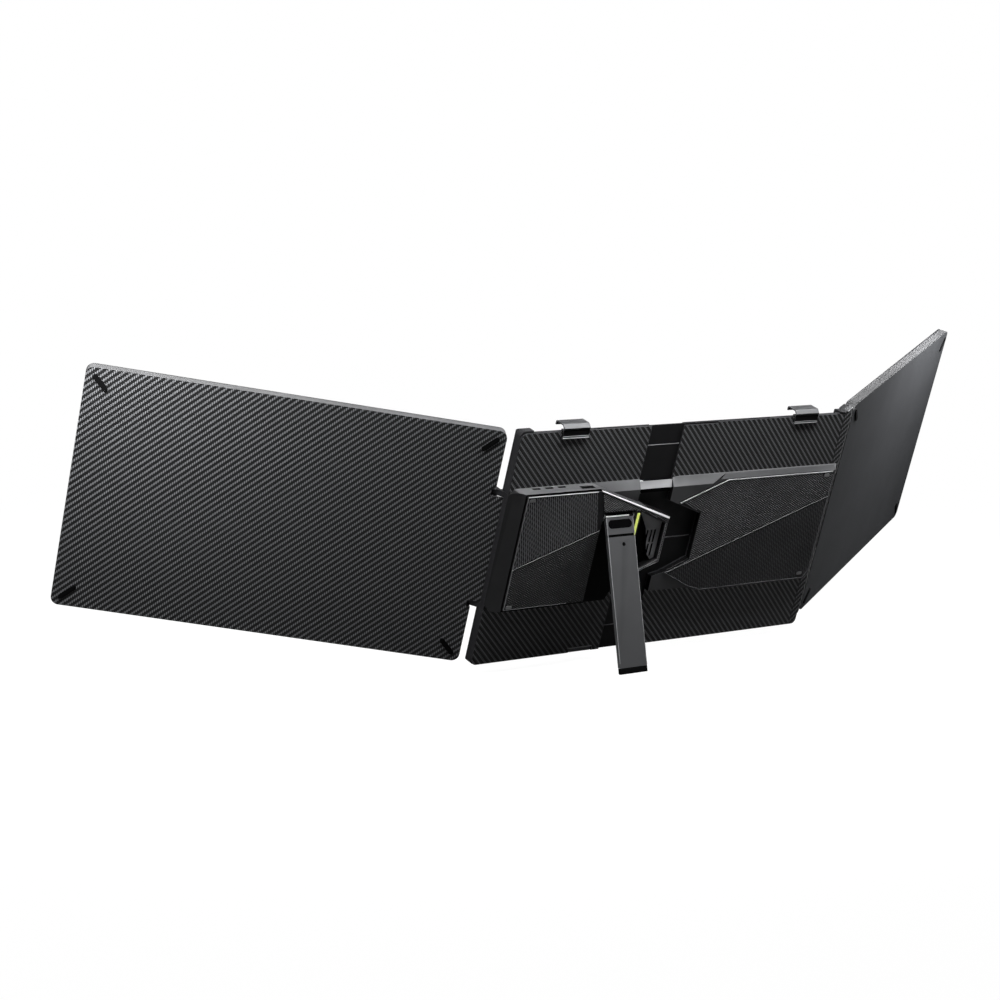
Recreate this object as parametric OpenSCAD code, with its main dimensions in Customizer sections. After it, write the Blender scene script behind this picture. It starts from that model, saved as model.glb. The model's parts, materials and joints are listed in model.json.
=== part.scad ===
// Laptop screen extender: two folding monitors on a sliding centre frame that clips to a laptop lid.
// The working frame stands upright: X runs along the back from left to right, Y points to the user
// and Z runs up the centre frame. Y = 0 is the back face of the centre plates, and in_stance()
// leans the finished pieces back and moves the origin to the middle of the lid's seat.

/* [Stance] */
// Lean of the centre frame behind the laptop lid, in degrees
lean = 19; // [10:1:30]
// Toe-in of the left monitor at rest, in degrees
left_toe = 30.4; // [10:0.1:45]
// Toe-in of the right monitor at rest, in degrees
right_toe = 29.5; // [10:0.1:45]
// Opening angle of the kickstand at rest, in degrees
stand_open = 28; // [15:1:45]

/* [Monitors] */
// Width of one monitor
wing_w = 358; // [354:1:380]
// Height of one monitor
wing_h = 219; // [210:1:240]
// Thickness of one monitor
wing_t = 10; // [9:0.5:12]
// Width of the visible screen
screen_w = 344; // [300:1:344]
// Height of the visible screen
screen_h = 194; // [170:1:194]
// Wall of the monitor covers
wing_wall = 1.5; // [1.2:0.1:1.8]
// Radius of the monitor corners
wing_r = 7; // [4:0.5:10]
// Depth of the front bezel
bezel_t = 1.7; // [1.4:0.1:2]

/* [Centre frame] */
// Half of the frame's width at rest
frame_half = 198; // [190:1:215]
// Height of the frame
frame_h = 221; // [210:1:240]
// Height of the rails' front above the back face
frame_t = 12; // [12:0.5:13]
// Thickness of the back plates
plate_t = 1.6; // [1.4:0.1:2]
// Thickness of the sliding tray
tray_t = 1.4; // [1.2:0.1:1.6]
// Thickness of the front liners
liner_t = 1; // [0.8:0.1:1.4]
// Thickness of the rubber lid pads
pad_t = 1; // [0.8:0.1:1.4]
// Clear gap on each side of a sliding layer
slide_gap = 0.2; // [0.15:0.05:0.3]
// Width of the side rails
rail_w = 14; // [13:0.5:16]
// Radius of the frame's outer corners
frame_r = 6; // [4:0.5:8]
// Inner edge of the left plate
left_edge = -51; // [-56:1:-49]
// Inner edge of the right plate at rest
right_edge = -12; // [-14:1:-8]
// Travel of the right half towards the left half
close_travel = 30; // [20:1:30]
// Travel of the right half away from the left half
open_travel = 18; // [10:1:24]

/* [Monitor hinges] */
// Distance of the hinge axis outside the side rail
axis_out = 3.3; // [3:0.1:4]
// Distance of the hinge axis in front of the rail
axis_front = 3.8; // [3.7:0.1:4.2]
// Radius of the hinge tube
tube_r = 3.4; // [3.2:0.1:3.6]
// Radius of the hinge pins
pin_r = 1.5; // [1.2:0.1:1.8]
// Running clearance of every pin in its hole, on the radius
pin_gap = 0.03; // [0.02:0.01:0.06]
// Height of the hinge tab
tab_h = 100; // [80:1:120]
// Height of each ear that carries the hinge pin
ear_h = 5; // [4:0.5:7]
// Reach of the tab past the hinge axis
tab_reach = 8; // [6:0.5:8.5]
// Width of the spacer link beside the right monitor
link_w = 19.5; // [17:0.5:24]
// Radius of the link's outer hinge tube
link_tube_r = 2.4; // [2.2:0.1:2.6]
// Radius of the link's outer hinge pin
link_pin_r = 1; // [0.8:0.1:1.2]

/* [Rear housings] */
// Depth of the controller housing
control_d = 14.6; // [13.5:0.1:17]
// Depth of the driver housing
driver_d = 4.5; // [4:0.1:6]
// Thickness of the mesh covers
mesh_t = 1.2; // [1:0.1:1.5]
// Wall of the rear housings
case_wall = 1.4; // [1.2:0.1:1.8]
// Top edge of the housings
case_top = 170; // [165:1:175]
// Bottom edge of the controller housing
control_bottom = 54; // [50:1:60]
// Width of one USB-C socket
usb_w = 9; // [8.9:0.1:9.2]
// Height of one USB-C socket
usb_h = 3.3; // [3.2:0.1:3.4]
// Width of the HDMI socket
hdmi_w = 15; // [14.5:0.1:15.5]
// Height of the HDMI socket
hdmi_h = 5.5; // [5:0.1:6]

/* [Lid clips and hook] */
// Distance of each top clip from the middle
clip_x = 138.5; // [130:0.5:150]
// Width of a top clip
clip_w = 29.5; // [20:0.5:34]
// Thickness of the clips' sheet metal
clip_t = 1.2; // [1:0.1:1.3]
// Thickness of the lid that the clips take
lid_t = 5.4; // [5:0.1:5.4]
// Height of the clips' top above the frame at rest
clip_rise = 6.3; // [6:0.1:12]
// Length of a clip's stem inside the frame
clip_stem = 72; // [50:1:80]

/* [Kickstand] */
// Length of the kickstand from its axis
stand_len = 140; // [120:1:150]
// Width of the kickstand
stand_w = 31.6; // [26:0.2:33]
// Thickness of the kickstand
stand_t = 3; // [2.6:0.1:3.4]
// Middle of the kickstand
stand_x = -78.5; // [-80:0.5:-77]
// Height of the kickstand's axis
stand_z = 142; // [138:1:143]
// Radius of the kickstand's hinge barrel
barrel_r = 3; // [2.8:0.1:3.2]

/* [Hidden] */
$fn = 48;
e = 0.01;

// Layers of the centre plates, from the back
tray_y = plate_t + slide_gap;
liner_y = tray_y + tray_t + slide_gap;
liner_front = liner_y + liner_t;
seat_y = liner_front + pad_t;

// Hinge axes and the monitors' place on them
hinge_x = frame_half + axis_out;
hinge_y = frame_t + axis_front;
axis_n = wing_t - tube_r;
sweep_r = norm([tab_reach, axis_n]);
tab_z = (frame_h - 2 - tab_h) / 2;
ear_gap = 0.4;
notch_w = tube_r + 0.3;
spine_z = tab_z - ear_h - ear_gap;
spine_h = tab_h + 2 * ear_h + 2 * ear_gap;
pin_out = 0.4;
notch_z = spine_z - 2 * pin_out;
notch_h = spine_h + 4 * pin_out;
link_axis = link_w + 1;
link_n = wing_t - link_tube_r + 0.8;
wing_start = link_axis + 1.9;

module in_stance() {
    rotate([lean, 0, 0]) translate([0, -seat_y, -frame_h / 2]) children();
}

// side is 1 for the right and -1 for the left
module on_side(side) {
    mirror([side < 0 ? 1 : 0, 0, 0]) children();
}

// Frame of a monitor: X outward along it, Y from its back to its screen
module at_wing(side, start = 0) {
    on_side(side) translate([hinge_x, hinge_y, 0]) rotate([0, 0, side < 0 ? left_toe : right_toe])
        translate([start, -axis_n, 0]) children();
}

// Box between two corners
module block(a, b) {
    translate(a) cube(b - a);
}

// Extrusion along Y of an outline drawn in X and Z
module slab(y0, y1) {
    translate([0, y1, 0]) rotate([90, 0, 0]) linear_extrude(y1 - y0) children();
}

// Extrusion along X of an outline drawn in Y and Z
module bar_x(x0, x1) {
    translate([x0, 0, 0]) rotate([90, 0, 90]) linear_extrude(x1 - x0) children();
}

// Rod along Z
module rod_z(x, y, z0, z1, r) {
    translate([x, y, z0]) cylinder(r = r, h = z1 - z0);
}

// Rod along X
module rod_x(x0, x1, y, z, r) {
    translate([x0, y, z]) rotate([0, 90, 0]) cylinder(r = r, h = x1 - x0);
}

// Rectangle with round corners, from corner a to corner b
module round_rect(a, b, r) {
    translate([a.x + r, a.y]) square([b.x - a.x - 2 * r, b.y - a.y]);
    translate([a.x, a.y + r]) square([b.x - a.x, b.y - a.y - 2 * r]);
    for (x = [a.x + r, b.x - r], y = [a.y + r, b.y - r]) translate([x, y]) circle(r);
}

// Outline moved inwards by d; points run anticlockwise
function heading(a, b) = (b - a) / norm(b - a);
function inward(u) = [-u.y, u.x];
function inset(points, d) = [
    for (i = [0:len(points) - 1])
        let (before = points[(i + len(points) - 1) % len(points)], here = points[i],
             after = points[(i + 1) % len(points)],
             p = inward(heading(before, here)), q = inward(heading(here, after)))
        here + (p + q) * d / (1 + p * q)
];

// ---- Centre plates ----

module plate_outline(side) {
    inner = side < 0 ? -left_edge : right_edge;
    outer = side < 0 ? frame_half : frame_half - seam_w;
    difference() {
        round_rect([inner - 2 * frame_r, 0], [outer, frame_h], side < 0 ? frame_r : e);
        translate([inner - 2 * frame_r - 1, -1]) square([2 * frame_r + 1, frame_h + 2]);
        translate([clip_x - clip_w / 2 - clip_gap, frame_h - window_h])
            square([clip_w + 2 * clip_gap, window_h + 1]);
        if (side < 0) translate([hook_x - hook_w / 2 - clip_gap, -1])
            square([hook_w + 2 * clip_gap, hook_flange + 1 + clip_gap]);
        if (side > 0) translate([right_edge - 1, frame_h - step_drop]) square([step_w + 1, step_drop + 1]);
        if (side > 0) polygon(plate_notch);
    }
}

step_w = 41;
step_drop = 1.5;

clip_gap = 0.3;
window_h = 6;
seam_w = 8.4;
hook_x = 74;
hook_w = 26;
hook_flange = 4.6;

module left_back_plate() {
    color("dimgray") in_stance() on_side(-1) slab(0, plate_t) plate_outline(-1);
}

module right_back_plate() {
    color("dimgray") in_stance() slab(0, plate_t) plate_outline(1);
}

// Cross-section of a side rail, with round front corners
module rail_section(back) {
    round_front = 4;
    x0 = frame_half - rail_w;
    difference() {
        translate([x0, back]) square([rail_w, frame_t - back]);
        for (x = [x0, frame_half]) translate([x, frame_t]) difference() {
            square(2 * round_front, center = true);
            translate([x > x0 ? -round_front : round_front, -round_front]) circle(round_front);
        }
    }
}

bracket_w = 11;

end_r = 5;
rail_rise = 2;

module rail_body(side) {
    back = side < 0 ? plate_t : 0;
    difference() {
        intersection() {
            linear_extrude(frame_h + rail_rise) rail_section(back);
            bar_x(frame_half - rail_w, frame_half)
                round_rect([back - 2 * end_r, 0], [frame_t, frame_h + rail_rise], end_r);
            slab(0, frame_t) round_rect([0, 0], [frame_half, frame_h + rail_rise], end_r);
        }
        block([frame_half - bracket_w, plate_t, spine_z],
            [frame_half + 1, frame_t + 1, spine_z + spine_h]);
        if (side > 0) block([frame_half - rail_w - 1, -1, -1],
            [frame_half - seam_w + 0.4, plate_t, frame_h + 1]);
    }
}

module left_side_rail() {
    color("#26272a") in_stance() on_side(-1) rail_body(-1);
}

module right_side_rail() {
    color("#26272a") in_stance() rail_body(1);
}

// Pin ears and spine that fill the gap in a side rail
module hinge_bracket() {
    difference() {
        union() {
            translate([0, 0, spine_z]) linear_extrude(spine_h) intersection() {
                rail_section(plate_t);
                translate([frame_half - bracket_w, 0]) square([bracket_w, frame_t]);
            }
            for (z = [spine_z, spine_z + spine_h - ear_h]) translate([0, 0, z]) linear_extrude(ear_h) {
                translate([hinge_x, hinge_y]) circle(tube_r);
                polygon([
                    [frame_half - 6, frame_t / 2], [frame_half, frame_t / 2],
                    [hinge_x + 2.6, hinge_y - 2.2], [hinge_x, hinge_y],
                    [hinge_x - tube_r + 0.1, hinge_y], [hinge_x - tube_r + 0.1, frame_t - 0.2],
                    [frame_half - 6, frame_t - 0.2]
                ]);
            }
        }
        rod_z(hinge_x, hinge_y, tab_z - ear_gap, tab_z + tab_h + ear_gap, sweep_r + 0.4);
        rod_z(hinge_x, hinge_y, 0, frame_h, pin_r + pin_gap);
    }
}

module left_hinge_bracket() {
    color("#303236") in_stance() on_side(-1) hinge_bracket();
}

module right_hinge_bracket() {
    color("#303236") in_stance() hinge_bracket();
}

module hinge_pin() {
    rod_z(hinge_x, hinge_y, spine_z - pin_out, spine_z + spine_h + pin_out, pin_r);
}

module left_hinge_pin() {
    color("silver") in_stance() on_side(-1) hinge_pin();
}

module right_hinge_pin() {
    color("silver") in_stance() hinge_pin();
}

// Tray and strips that the right half slides on
tray_left = -110;
tray_right = 42 + open_travel;
strip_z = [30, 190];
strip_h = 8;
strip_t = 0.9;
seam_z = [23.5, 108, 202];

module centre_tray() {
    seam = 0.5;
    color("#1c1d1f") in_stance() difference() {
        block([tray_left, tray_y, 0], [tray_right, tray_y + tray_t, frame_h]);
        for (z = seam_z) block([tray_left - 1, tray_y - 1, z - seam],
            [tray_right + 1, tray_y + seam, z + seam]);
        block([-hook_x - hook_w / 2 - clip_gap, 0, -1],
            [-hook_x + hook_w / 2 + clip_gap, frame_t, clip_t + clip_gap]);
    }
}

module slide_strips() {
    color("silver") in_stance() for (z = strip_z)
        block([tray_left + 10, tray_y + tray_t, z - strip_h / 2],
            [tray_right - 4, tray_y + tray_t + strip_t, z + strip_h / 2]);
}

// Front liner with a rim, open where the tray and the strips pass
module front_liner(inner, tray_end) {
    outer = frame_half - rail_w;
    rim = 2.4;
    difference() {
        union() {
            block([inner, liner_y, 0], [outer, liner_front, frame_h]);
            block([tray_end, plate_t, 0], [outer, liner_y, rim]);
            block([tray_end, plate_t, frame_h - rim], [outer, liner_y, frame_h]);
            for (s = [-1, 1]) translate([clip_x + s * (clip_w / 2 + clip_gap + rim / 2), 0, 0])
                block([-rim / 2, plate_t, frame_h - clip_stem], [rim / 2, liner_y, frame_h]);
        }
        block([clip_x - clip_w / 2 - clip_gap, 0, frame_h - rim - 1],
            [clip_x + clip_w / 2 + clip_gap, liner_y, frame_h + 1]);
        for (z = strip_z) block([inner - 1, 0, z - strip_h / 2 - clip_gap],
            [tray_right + 60, liner_front + 1, z + strip_h / 2 + clip_gap]);
    }
}

module left_front_liner() {
    color("#222326") in_stance() on_side(-1) difference() {
        front_liner(-left_edge + 1, 113);
        block([hook_x - hook_w / 2 - clip_gap, 0, -1],
            [hook_x + hook_w / 2 + clip_gap, frame_t, hook_flange + clip_gap]);
    }
}

module right_front_liner() {
    color("#222326") in_stance() front_liner(right_edge, tray_right + close_travel + 4);
}

// Rubber pads that the lid lies on
pad_z = [60, 160];
pad_w = 46;
pad_h = 12;

module lid_pads() {
    for (z = pad_z) slab(liner_front, seat_y)
        round_rect([clip_x - pad_w / 2, z - pad_h / 2], [clip_x + pad_w / 2, z + pad_h / 2], pad_h / 4);
}

module left_lid_pads() {
    color("#1a1a1a") in_stance() on_side(-1) lid_pads();
}

module right_lid_pads() {
    color("#1a1a1a") in_stance() lid_pads();
}

// ---- Lid clips and lower hook ----

lip_y = seat_y + lid_t;
clip_top = frame_h + clip_rise;
lip_h = 4;
step_z = frame_h + 0.6;
stem_y = tray_y + 0.1;

// Skirt of a clip outside the back plate, with a slope above it and a lip at its low edge
skirt_in = -0.2;
skirt_out = skirt_in - clip_t;
skirt_low = frame_h - 7;
slope_y = 1.5;
slope_h = 3.2;
press = 0.5;

module top_clip() {
    bar_x(clip_x - clip_w / 2, clip_x + clip_w / 2) polygon([
        [skirt_in, skirt_low], [skirt_in, step_z], [stem_y, step_z], [stem_y, frame_h - clip_stem],
        [stem_y + clip_t, frame_h - clip_stem], [stem_y + clip_t, step_z + clip_t],
        [skirt_in, step_z + clip_t], [skirt_in, clip_top - slope_h - 0.4 * clip_t],
        [slope_y + 0.4 * clip_t, clip_top - clip_t], [lip_y, clip_top - clip_t],
        [lip_y, clip_top - lip_h], [lip_y + clip_t, clip_top - lip_h], [lip_y + clip_t, clip_top - 0.8],
        [lip_y + clip_t - 0.8, clip_top], [slope_y, clip_top], [skirt_out, clip_top - slope_h],
        [skirt_out, clip_top - slope_h - 1], [skirt_out + press, clip_top - slope_h - 1 - press],
        [skirt_out + press, skirt_low + 1 + press], [skirt_out - press, skirt_low + 1],
        [skirt_out - press, skirt_low]
    ]);
}

module left_top_clip() {
    color("#4a4c50") in_stance() on_side(-1) top_clip();
}

module right_top_clip() {
    color("#4a4c50") in_stance() top_clip();
}

module lower_lid_hook() {
    lip = 5;
    y0 = tray_y - clip_t;
    color("#4a4c50") in_stance() on_side(-1) bar_x(hook_x - hook_w / 2, hook_x + hook_w / 2) polygon([
        [y0, 0], [lip_y + clip_t, 0], [lip_y + clip_t, lip], [lip_y, lip], [lip_y, clip_t],
        [tray_y, clip_t], [tray_y, hook_flange], [y0, hook_flange]
    ]);
}

// ---- Controller housing ----

nose_x = -16;
nose_top = 137;
nose_low = 91;
shoulder_x = -107;
heel_x = stand_x + 8;
front_y = mesh_t - control_d;
side_slope = 8;
bottom_slope = 4;
nose_gap = 0.4;
control_left = -frame_half;

// Trench for the folded kickstand and pocket for its hinge, in Y and Z
barrel_y = barrel_r - control_d + 0.2;
trench_x0 = stand_x - stand_w / 2 - 1.8;
trench_x1 = stand_x + stand_w / 2 + 1.8;
trench_y = barrel_y + 1;
pocket_top = stand_z + barrel_r + 1;
pocket_low = stand_z - barrel_r - 5;
pocket_y = -5.5;

control_outline = [
    [control_left, control_bottom], [heel_x, control_bottom], [trench_x1 + 1, 75.5], [nose_x, nose_low],
    [nose_x, nose_top], [shoulder_x, case_top], [control_left, case_top]
];

module trench(grow) {
    bar_x(trench_x0 - grow, trench_x1 + grow) polygon([
        [-30, -10], [trench_y + grow, -10], [trench_y + grow, pocket_low - 4], [pocket_y + grow, pocket_low],
        [pocket_y + grow, pocket_top + grow], [-30, pocket_top + grow]
    ]);
}

// Recess beside the kickstand, in X and Z, anticlockwise
recess_y = -control_d + 4;
recess_outline = [
    [trench_x1 + 8, 84], [-38, 88.5], [nose_x - 5.5, nose_low + 4.5], [nose_x - 5.5, nose_top - 6],
    [trench_x1 + 8, nose_top + 7.5]
];

// Solid of the housing, grown inwards by d
module control_solid(d) {
    intersection() {
        slab(front_y + d, 0) polygon(inset(control_outline, d));
        slab(front_y, 0)
            round_rect([control_left + d, control_bottom + d], [20, case_top - d], side_slope - d);
        translate([0, 0, -1]) linear_extrude(300) polygon([
            [control_left + d, 0], [control_left + side_slope + d, front_y + d],
            [0, front_y + d], [0, -nose_gap - d], [left_edge - 1, -nose_gap - d], [left_edge - 1, 0]
        ]);
        bar_x(-frame_half, 0) polygon([
            [0, control_bottom + d], [front_y + d, control_bottom + bottom_slope + d],
            [front_y + d, case_top - d], [0, case_top - d]
        ]);
    }
}

// Low shoulder between the nose and the driver housing
shoulder_d = 4.5;
shoulder_drop = 8.5;

module shoulder_solid(d) {
    intersection() {
        slab(-shoulder_d + d, 0) polygon([
            [shoulder_x - 3 + d, nose_top - 12], [left_edge - d, nose_top - 12],
            [left_edge - d, case_top - d], [shoulder_x - 3 + d, case_top - d]
        ]);
        bar_x(-frame_half, 0) polygon([
            [0, 0], [-shoulder_d + d, 0], [-shoulder_d + d, case_top - shoulder_drop - d], [0, case_top - d]
        ]);
    }
}

usb_x = [control_left + 26.5, control_left + 40.5, control_left + 54.5];
usb_low_x = [control_left + 28, control_left + 48];
usb_y = -3.6;
hdmi_x = shoulder_x - 10.5;
hdmi_y = -7.8;
socket_gap = 0.15;

module socket_holes() {
    for (x = usb_x) translate([x, usb_y, case_top - 10]) linear_extrude(20)
        round_rect([-usb_w / 2 - socket_gap, -usb_h / 2 - socket_gap],
            [usb_w / 2 + socket_gap, usb_h / 2 + socket_gap], usb_h / 2);
    for (x = usb_low_x) translate([x, usb_y, control_bottom - 10]) linear_extrude(20)
        round_rect([-usb_w / 2 - socket_gap, -usb_h / 2 - socket_gap],
            [usb_w / 2 + socket_gap, usb_h / 2 + socket_gap], usb_h / 2);
    block([hdmi_x - hdmi_w / 2 - socket_gap, hdmi_y - hdmi_h / 2 - socket_gap, case_top - 10],
        [hdmi_x + hdmi_w / 2 + socket_gap, hdmi_y + hdmi_h / 2 + socket_gap, case_top + 10]);
}

vent_w = 2;
vent_h = 12.4;
vent_x = [-28.4, -32.8, -37.2];
vent_z = [117.2, 103.4];

module vents() {
    for (row = [0, 1]) for (i = [0:2 - row]) translate([vent_x[i], 0, vent_z[row]]) slab(-control_d, 0)
        translate([0, -vent_h / 2]) square([vent_w, vent_h]);
}

// Deeper part of the recess, towards the kickstand
deep_y = recess_y + 3.5;
deep_outline = [
    recess_outline[0], recess_outline[1], [-25.5, 93.3], [-31.8, 100], [-39.3, 125.1], [-48, 139],
    recess_outline[4]
];

module controller_housing() {
    color("#2c2d30") in_stance() difference() {
        union() {
            control_solid(0);
            shoulder_solid(0);
        }
        difference() {
            control_solid(case_wall);
            trench(case_wall);
            slab(front_y, recess_y + case_wall) polygon(inset(recess_outline, -case_wall));
            slab(front_y, deep_y + case_wall) offset(delta = case_wall) polygon(deep_outline);
        }
        difference() {
            shoulder_solid(case_wall);
            trench(case_wall);
        }
        block([control_left + 12, -case_wall - 1, control_bottom + 10], [shoulder_x, 1, case_top - 8]);
        trench(0);
        slab(front_y - 1, recess_y) polygon(recess_outline);
        slab(front_y - 1, deep_y) polygon(deep_outline);
        vents();
        socket_holes();
        block([strip_x - strip_half, front_y - 1, strip_low],
            [strip_x + strip_half, front_y + case_wall + 1, strip_top]);
    }
}

// Lime light strip beside the kickstand
strip_x = trench_x1 + 4.9;
strip_half = 1.5;
strip_low = 117;
strip_top = 143.5;

module accent_strip() {
    gap = 0.1;
    color("#c5dc69") in_stance()
        block([strip_x - strip_half + gap, -control_d - 0.2, strip_low + gap],
            [strip_x + strip_half - gap, front_y + case_wall, strip_top - gap]);
}

// Mesh cover on the left of the controller housing
mesh_margin = 1.8;
mesh_slant_x = trench_x0 - 1.5;
controller_mesh_outline = [
    [control_left + side_slope + mesh_margin, control_bottom + bottom_slope + mesh_margin],
    [mesh_slant_x, control_bottom + bottom_slope + mesh_margin], [mesh_slant_x, 126],
    [shoulder_x - 2.5, case_top - mesh_margin],
    [control_left + side_slope + mesh_margin, case_top - mesh_margin]
];

driver_right = frame_half - 2;
cap_w = 7;
cap_r = 1.6;
control_caps = [
    [control_left + 15.5, case_top - 5.5], [control_left + 15.5, control_bottom + 8.5]
];
driver_caps = [[driver_right - 15, case_top - 9], [driver_right - 17, 58.5]];

module cap_outline(place, grow) {
    r = cap_r + grow;
    translate(place) round_rect([-cap_w / 2 - grow, -r - e], [cap_w / 2 + grow, r + e], r);
}

module corner_cap_holes(places, grow) {
    for (p = places) slab(-20, 10) cap_outline(p, grow);
}

module controller_mesh_cover() {
    color("#38393c") in_stance() difference() {
        slab(-control_d, front_y) polygon(controller_mesh_outline);
        corner_cap_holes(control_caps, 0.1);
    }
}

module corner_caps(places, front) {
    for (p = places) slab(front, front + mesh_t + 0.3) cap_outline(p, 0);
}

module controller_corner_caps() {
    color("#8d8f93") in_stance() corner_caps(control_caps, -control_d - 0.3);
}

// Fine mesh surround of the kickstand pocket
surround_outline = [
    [trench_x1 - 2, 77], [-40, 83.5], [nose_x - 1.5, nose_low + 1], [nose_x - 1.5, nose_top - 1],
    [shoulder_x + 2, case_top - 1.5], [mesh_slant_x + 4, pocket_low]
];

module stand_surround() {
    color("#3a3b3e") in_stance() difference() {
        slab(-control_d, front_y) polygon(surround_outline);
        trench(0.2);
        slab(-control_d - 1, 0) polygon(inset(recess_outline, 0.1));
        block([strip_x - strip_half, -control_d - 1, strip_low], [strip_x + strip_half, 0, strip_top]);
    }
}

module main_board() {
    board_t = 1.2;
    chip_h = 1.4;
    color("#1d4a33") in_stance() {
        x0 = control_left + 12;
        y0 = -5 - usb_h;
        block([x0, y0, 70], [shoulder_x - 5, y0 + board_t, 150]);
        block([x0 + 16, y0 - chip_h, 96], [x0 + 36, y0, 116]);
        block([x0 + 48, y0 - chip_h, 84], [x0 + 60, y0, 98]);
        block([x0, y0 + board_t, 70], [x0 + 6, 0, 150]);
    }
}

// Metal shell of a socket with its tongue, mouth up
module socket(w, h, length, r) {
    wall = 0.35;
    linear_extrude(length) difference() {
        round_rect([-w / 2, -h / 2], [w / 2, h / 2], r);
        round_rect([-w / 2 + wall, -h / 2 + wall], [w / 2 - wall, h / 2 - wall], r - wall);
    }
    linear_extrude(1) round_rect([-w / 2, -h / 2], [w / 2, h / 2], r);
    translate([-w * 0.36, -0.35, 0]) cube([w * 0.72, 0.7, length - 1.2]);
}

socket_len = 8;

module usb_c_sockets() {
    color("silver") in_stance() {
        for (x = usb_x) translate([x, usb_y, case_top - socket_len])
            socket(usb_w, usb_h, socket_len, usb_h / 2 - e);
        for (x = usb_low_x) translate([x, usb_y, control_bottom + 1 + socket_len]) rotate([180, 0, 0])
            socket(usb_w, usb_h, socket_len, usb_h / 2 - e);
    }
}

module hdmi_socket() {
    color("silver") in_stance() translate([hdmi_x, hdmi_y, case_top - 1.5 * socket_len])
        socket(hdmi_w, hdmi_h, 1.5 * socket_len, 0.8);
}

// ---- Cable duct between the housings ----

duct_right = 30;
duct_back = 2.4 - shoulder_d;
duct_wall = 0.45;
duct_outline = [
    [-0.3, case_top - 2.4], [duct_back, case_top - shoulder_drop - 1], [-0.3, case_top - shoulder_drop - 5.5]
];

module cable_duct() {
    root_x = left_edge + 5;
    color("#8f9195") in_stance() difference() {
        union() {
            bar_x(left_edge, duct_right) polygon(duct_outline);
            block([left_edge + 0.3, -0.4, duct_outline[2].y], [root_x, tray_y, duct_outline[0].y]);
        }
        bar_x(left_edge - 1, duct_right + 1) polygon(inset(duct_outline, duct_wall));
    }
}

// ---- Kickstand ----

module stand_bracket() {
    cheek = 1.1;
    x0 = trench_x0 + 0.1;
    x1 = trench_x1 - 0.1;
    base_y = pocket_y - 0.1;
    color("silver") in_stance() difference() {
        union() {
            block([x0, base_y - 1, pocket_low + 0.4], [x1, base_y, pocket_top - 0.2]);
            for (x = [x0, x1 - cheek]) {
                rod_x(x, x + cheek, barrel_y, stand_z, barrel_r);
                block([x, barrel_y, stand_z - barrel_r], [x + cheek, base_y, stand_z + barrel_r]);
            }
        }
        rod_x(x0 - 1, x1 + 1, barrel_y, stand_z, pin_r + pin_gap);
    }
}

module stand_pin() {
    color("silver") in_stance() rod_x(trench_x0 + 0.15, trench_x1 - 0.15, barrel_y, stand_z, pin_r);
}

// Frame of the kickstand: origin on its axis, leg along -Z, its back at Y = -barrel_r
module at_stand() {
    translate([stand_x, barrel_y, stand_z]) rotate([-stand_open, 0, 0]) children();
}

leg_root = barrel_r + 0.1;
foot_h = 5;
badge_z = 8;
badge_w = 27.5;
badge_h = 8;
groove_z = 18.2;
foot_slope = stand_open - lean;

module leg_outline() {
    round_rect([-stand_w / 2, -stand_len + foot_h], [stand_w / 2, -leg_root + 1], 1);
}

module stand_leg() {
    badge_deep = 0.7;
    groove = 1.1;
    color("#47494c") in_stance() at_stand() difference() {
        slab(-barrel_r, -barrel_r + stand_t) leg_outline();
        rod_x(-stand_w, stand_w, 0, 0, leg_root);
        slab(-barrel_r - 1, -barrel_r + badge_deep)
            round_rect([-badge_w / 2, -badge_z - badge_h / 2], [badge_w / 2, -badge_z + badge_h / 2],
                badge_h / 2 - e);
        block([-stand_w, -barrel_r - 1, -groove_z - groove],
            [stand_w, -barrel_r + groove, -groove_z + groove]);
        translate([2, -barrel_r - 1, -groove_z - 8]) rotate([-90, 0, 0]) cylinder(r = 1.8, h = 2);
    }
}

module stand_badge() {
    gap = 0.15;
    color("#0c0c0d") in_stance() at_stand() slab(-barrel_r, -barrel_r + 0.7)
        round_rect([-badge_w / 2 + gap, -badge_z - badge_h / 2 + gap],
            [badge_w / 2 - gap, -badge_z + badge_h / 2 - gap], badge_h / 2 - gap - e);
}

// Rubber foot with an end that lies flat on the table when the kickstand is open
module stand_foot() {
    drop = stand_t * tan(foot_slope);
    color("#1b1b1c") in_stance() at_stand() bar_x(-stand_w / 2, stand_w / 2) polygon([
        [-barrel_r, -stand_len + foot_h], [-barrel_r, -stand_len - drop],
        [-barrel_r + stand_t, -stand_len], [-barrel_r + stand_t, -stand_len + foot_h]
    ]);
}

module stand_barrel() {
    color("silver") in_stance() at_stand() difference() {
        rod_x(-stand_w / 2, stand_w / 2, 0, 0, barrel_r);
        rod_x(-stand_w, stand_w, 0, 0, pin_r + pin_gap);
    }
}

// ---- Driver housing on the right half ----

notch_outline = [[right_edge, 148], [29.5, 132], [29.5, 87.5], [0, 75], [right_edge, 72.5]];
driver_outline = concat([
    [right_edge, 57.5], [34, 56.5], [51, 51.5], [driver_right - 10, 51.5], [driver_right, 61],
    [driver_right, case_top], [right_edge, case_top]
], notch_outline);
plate_notch = concat([[right_edge - 1, 148]], notch_outline, [[right_edge - 1, 72.5]]);
platform_outline = [
    [0, 74.5], [34, 57], [51, 52], [driver_right - 10.5, 52], [driver_right - 3.5, 61.5],
    [driver_right - 3.5, case_top - 1], [53, case_top - 1], [-2, 144.6], [29, 132.4], [29, 87]
];

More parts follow.
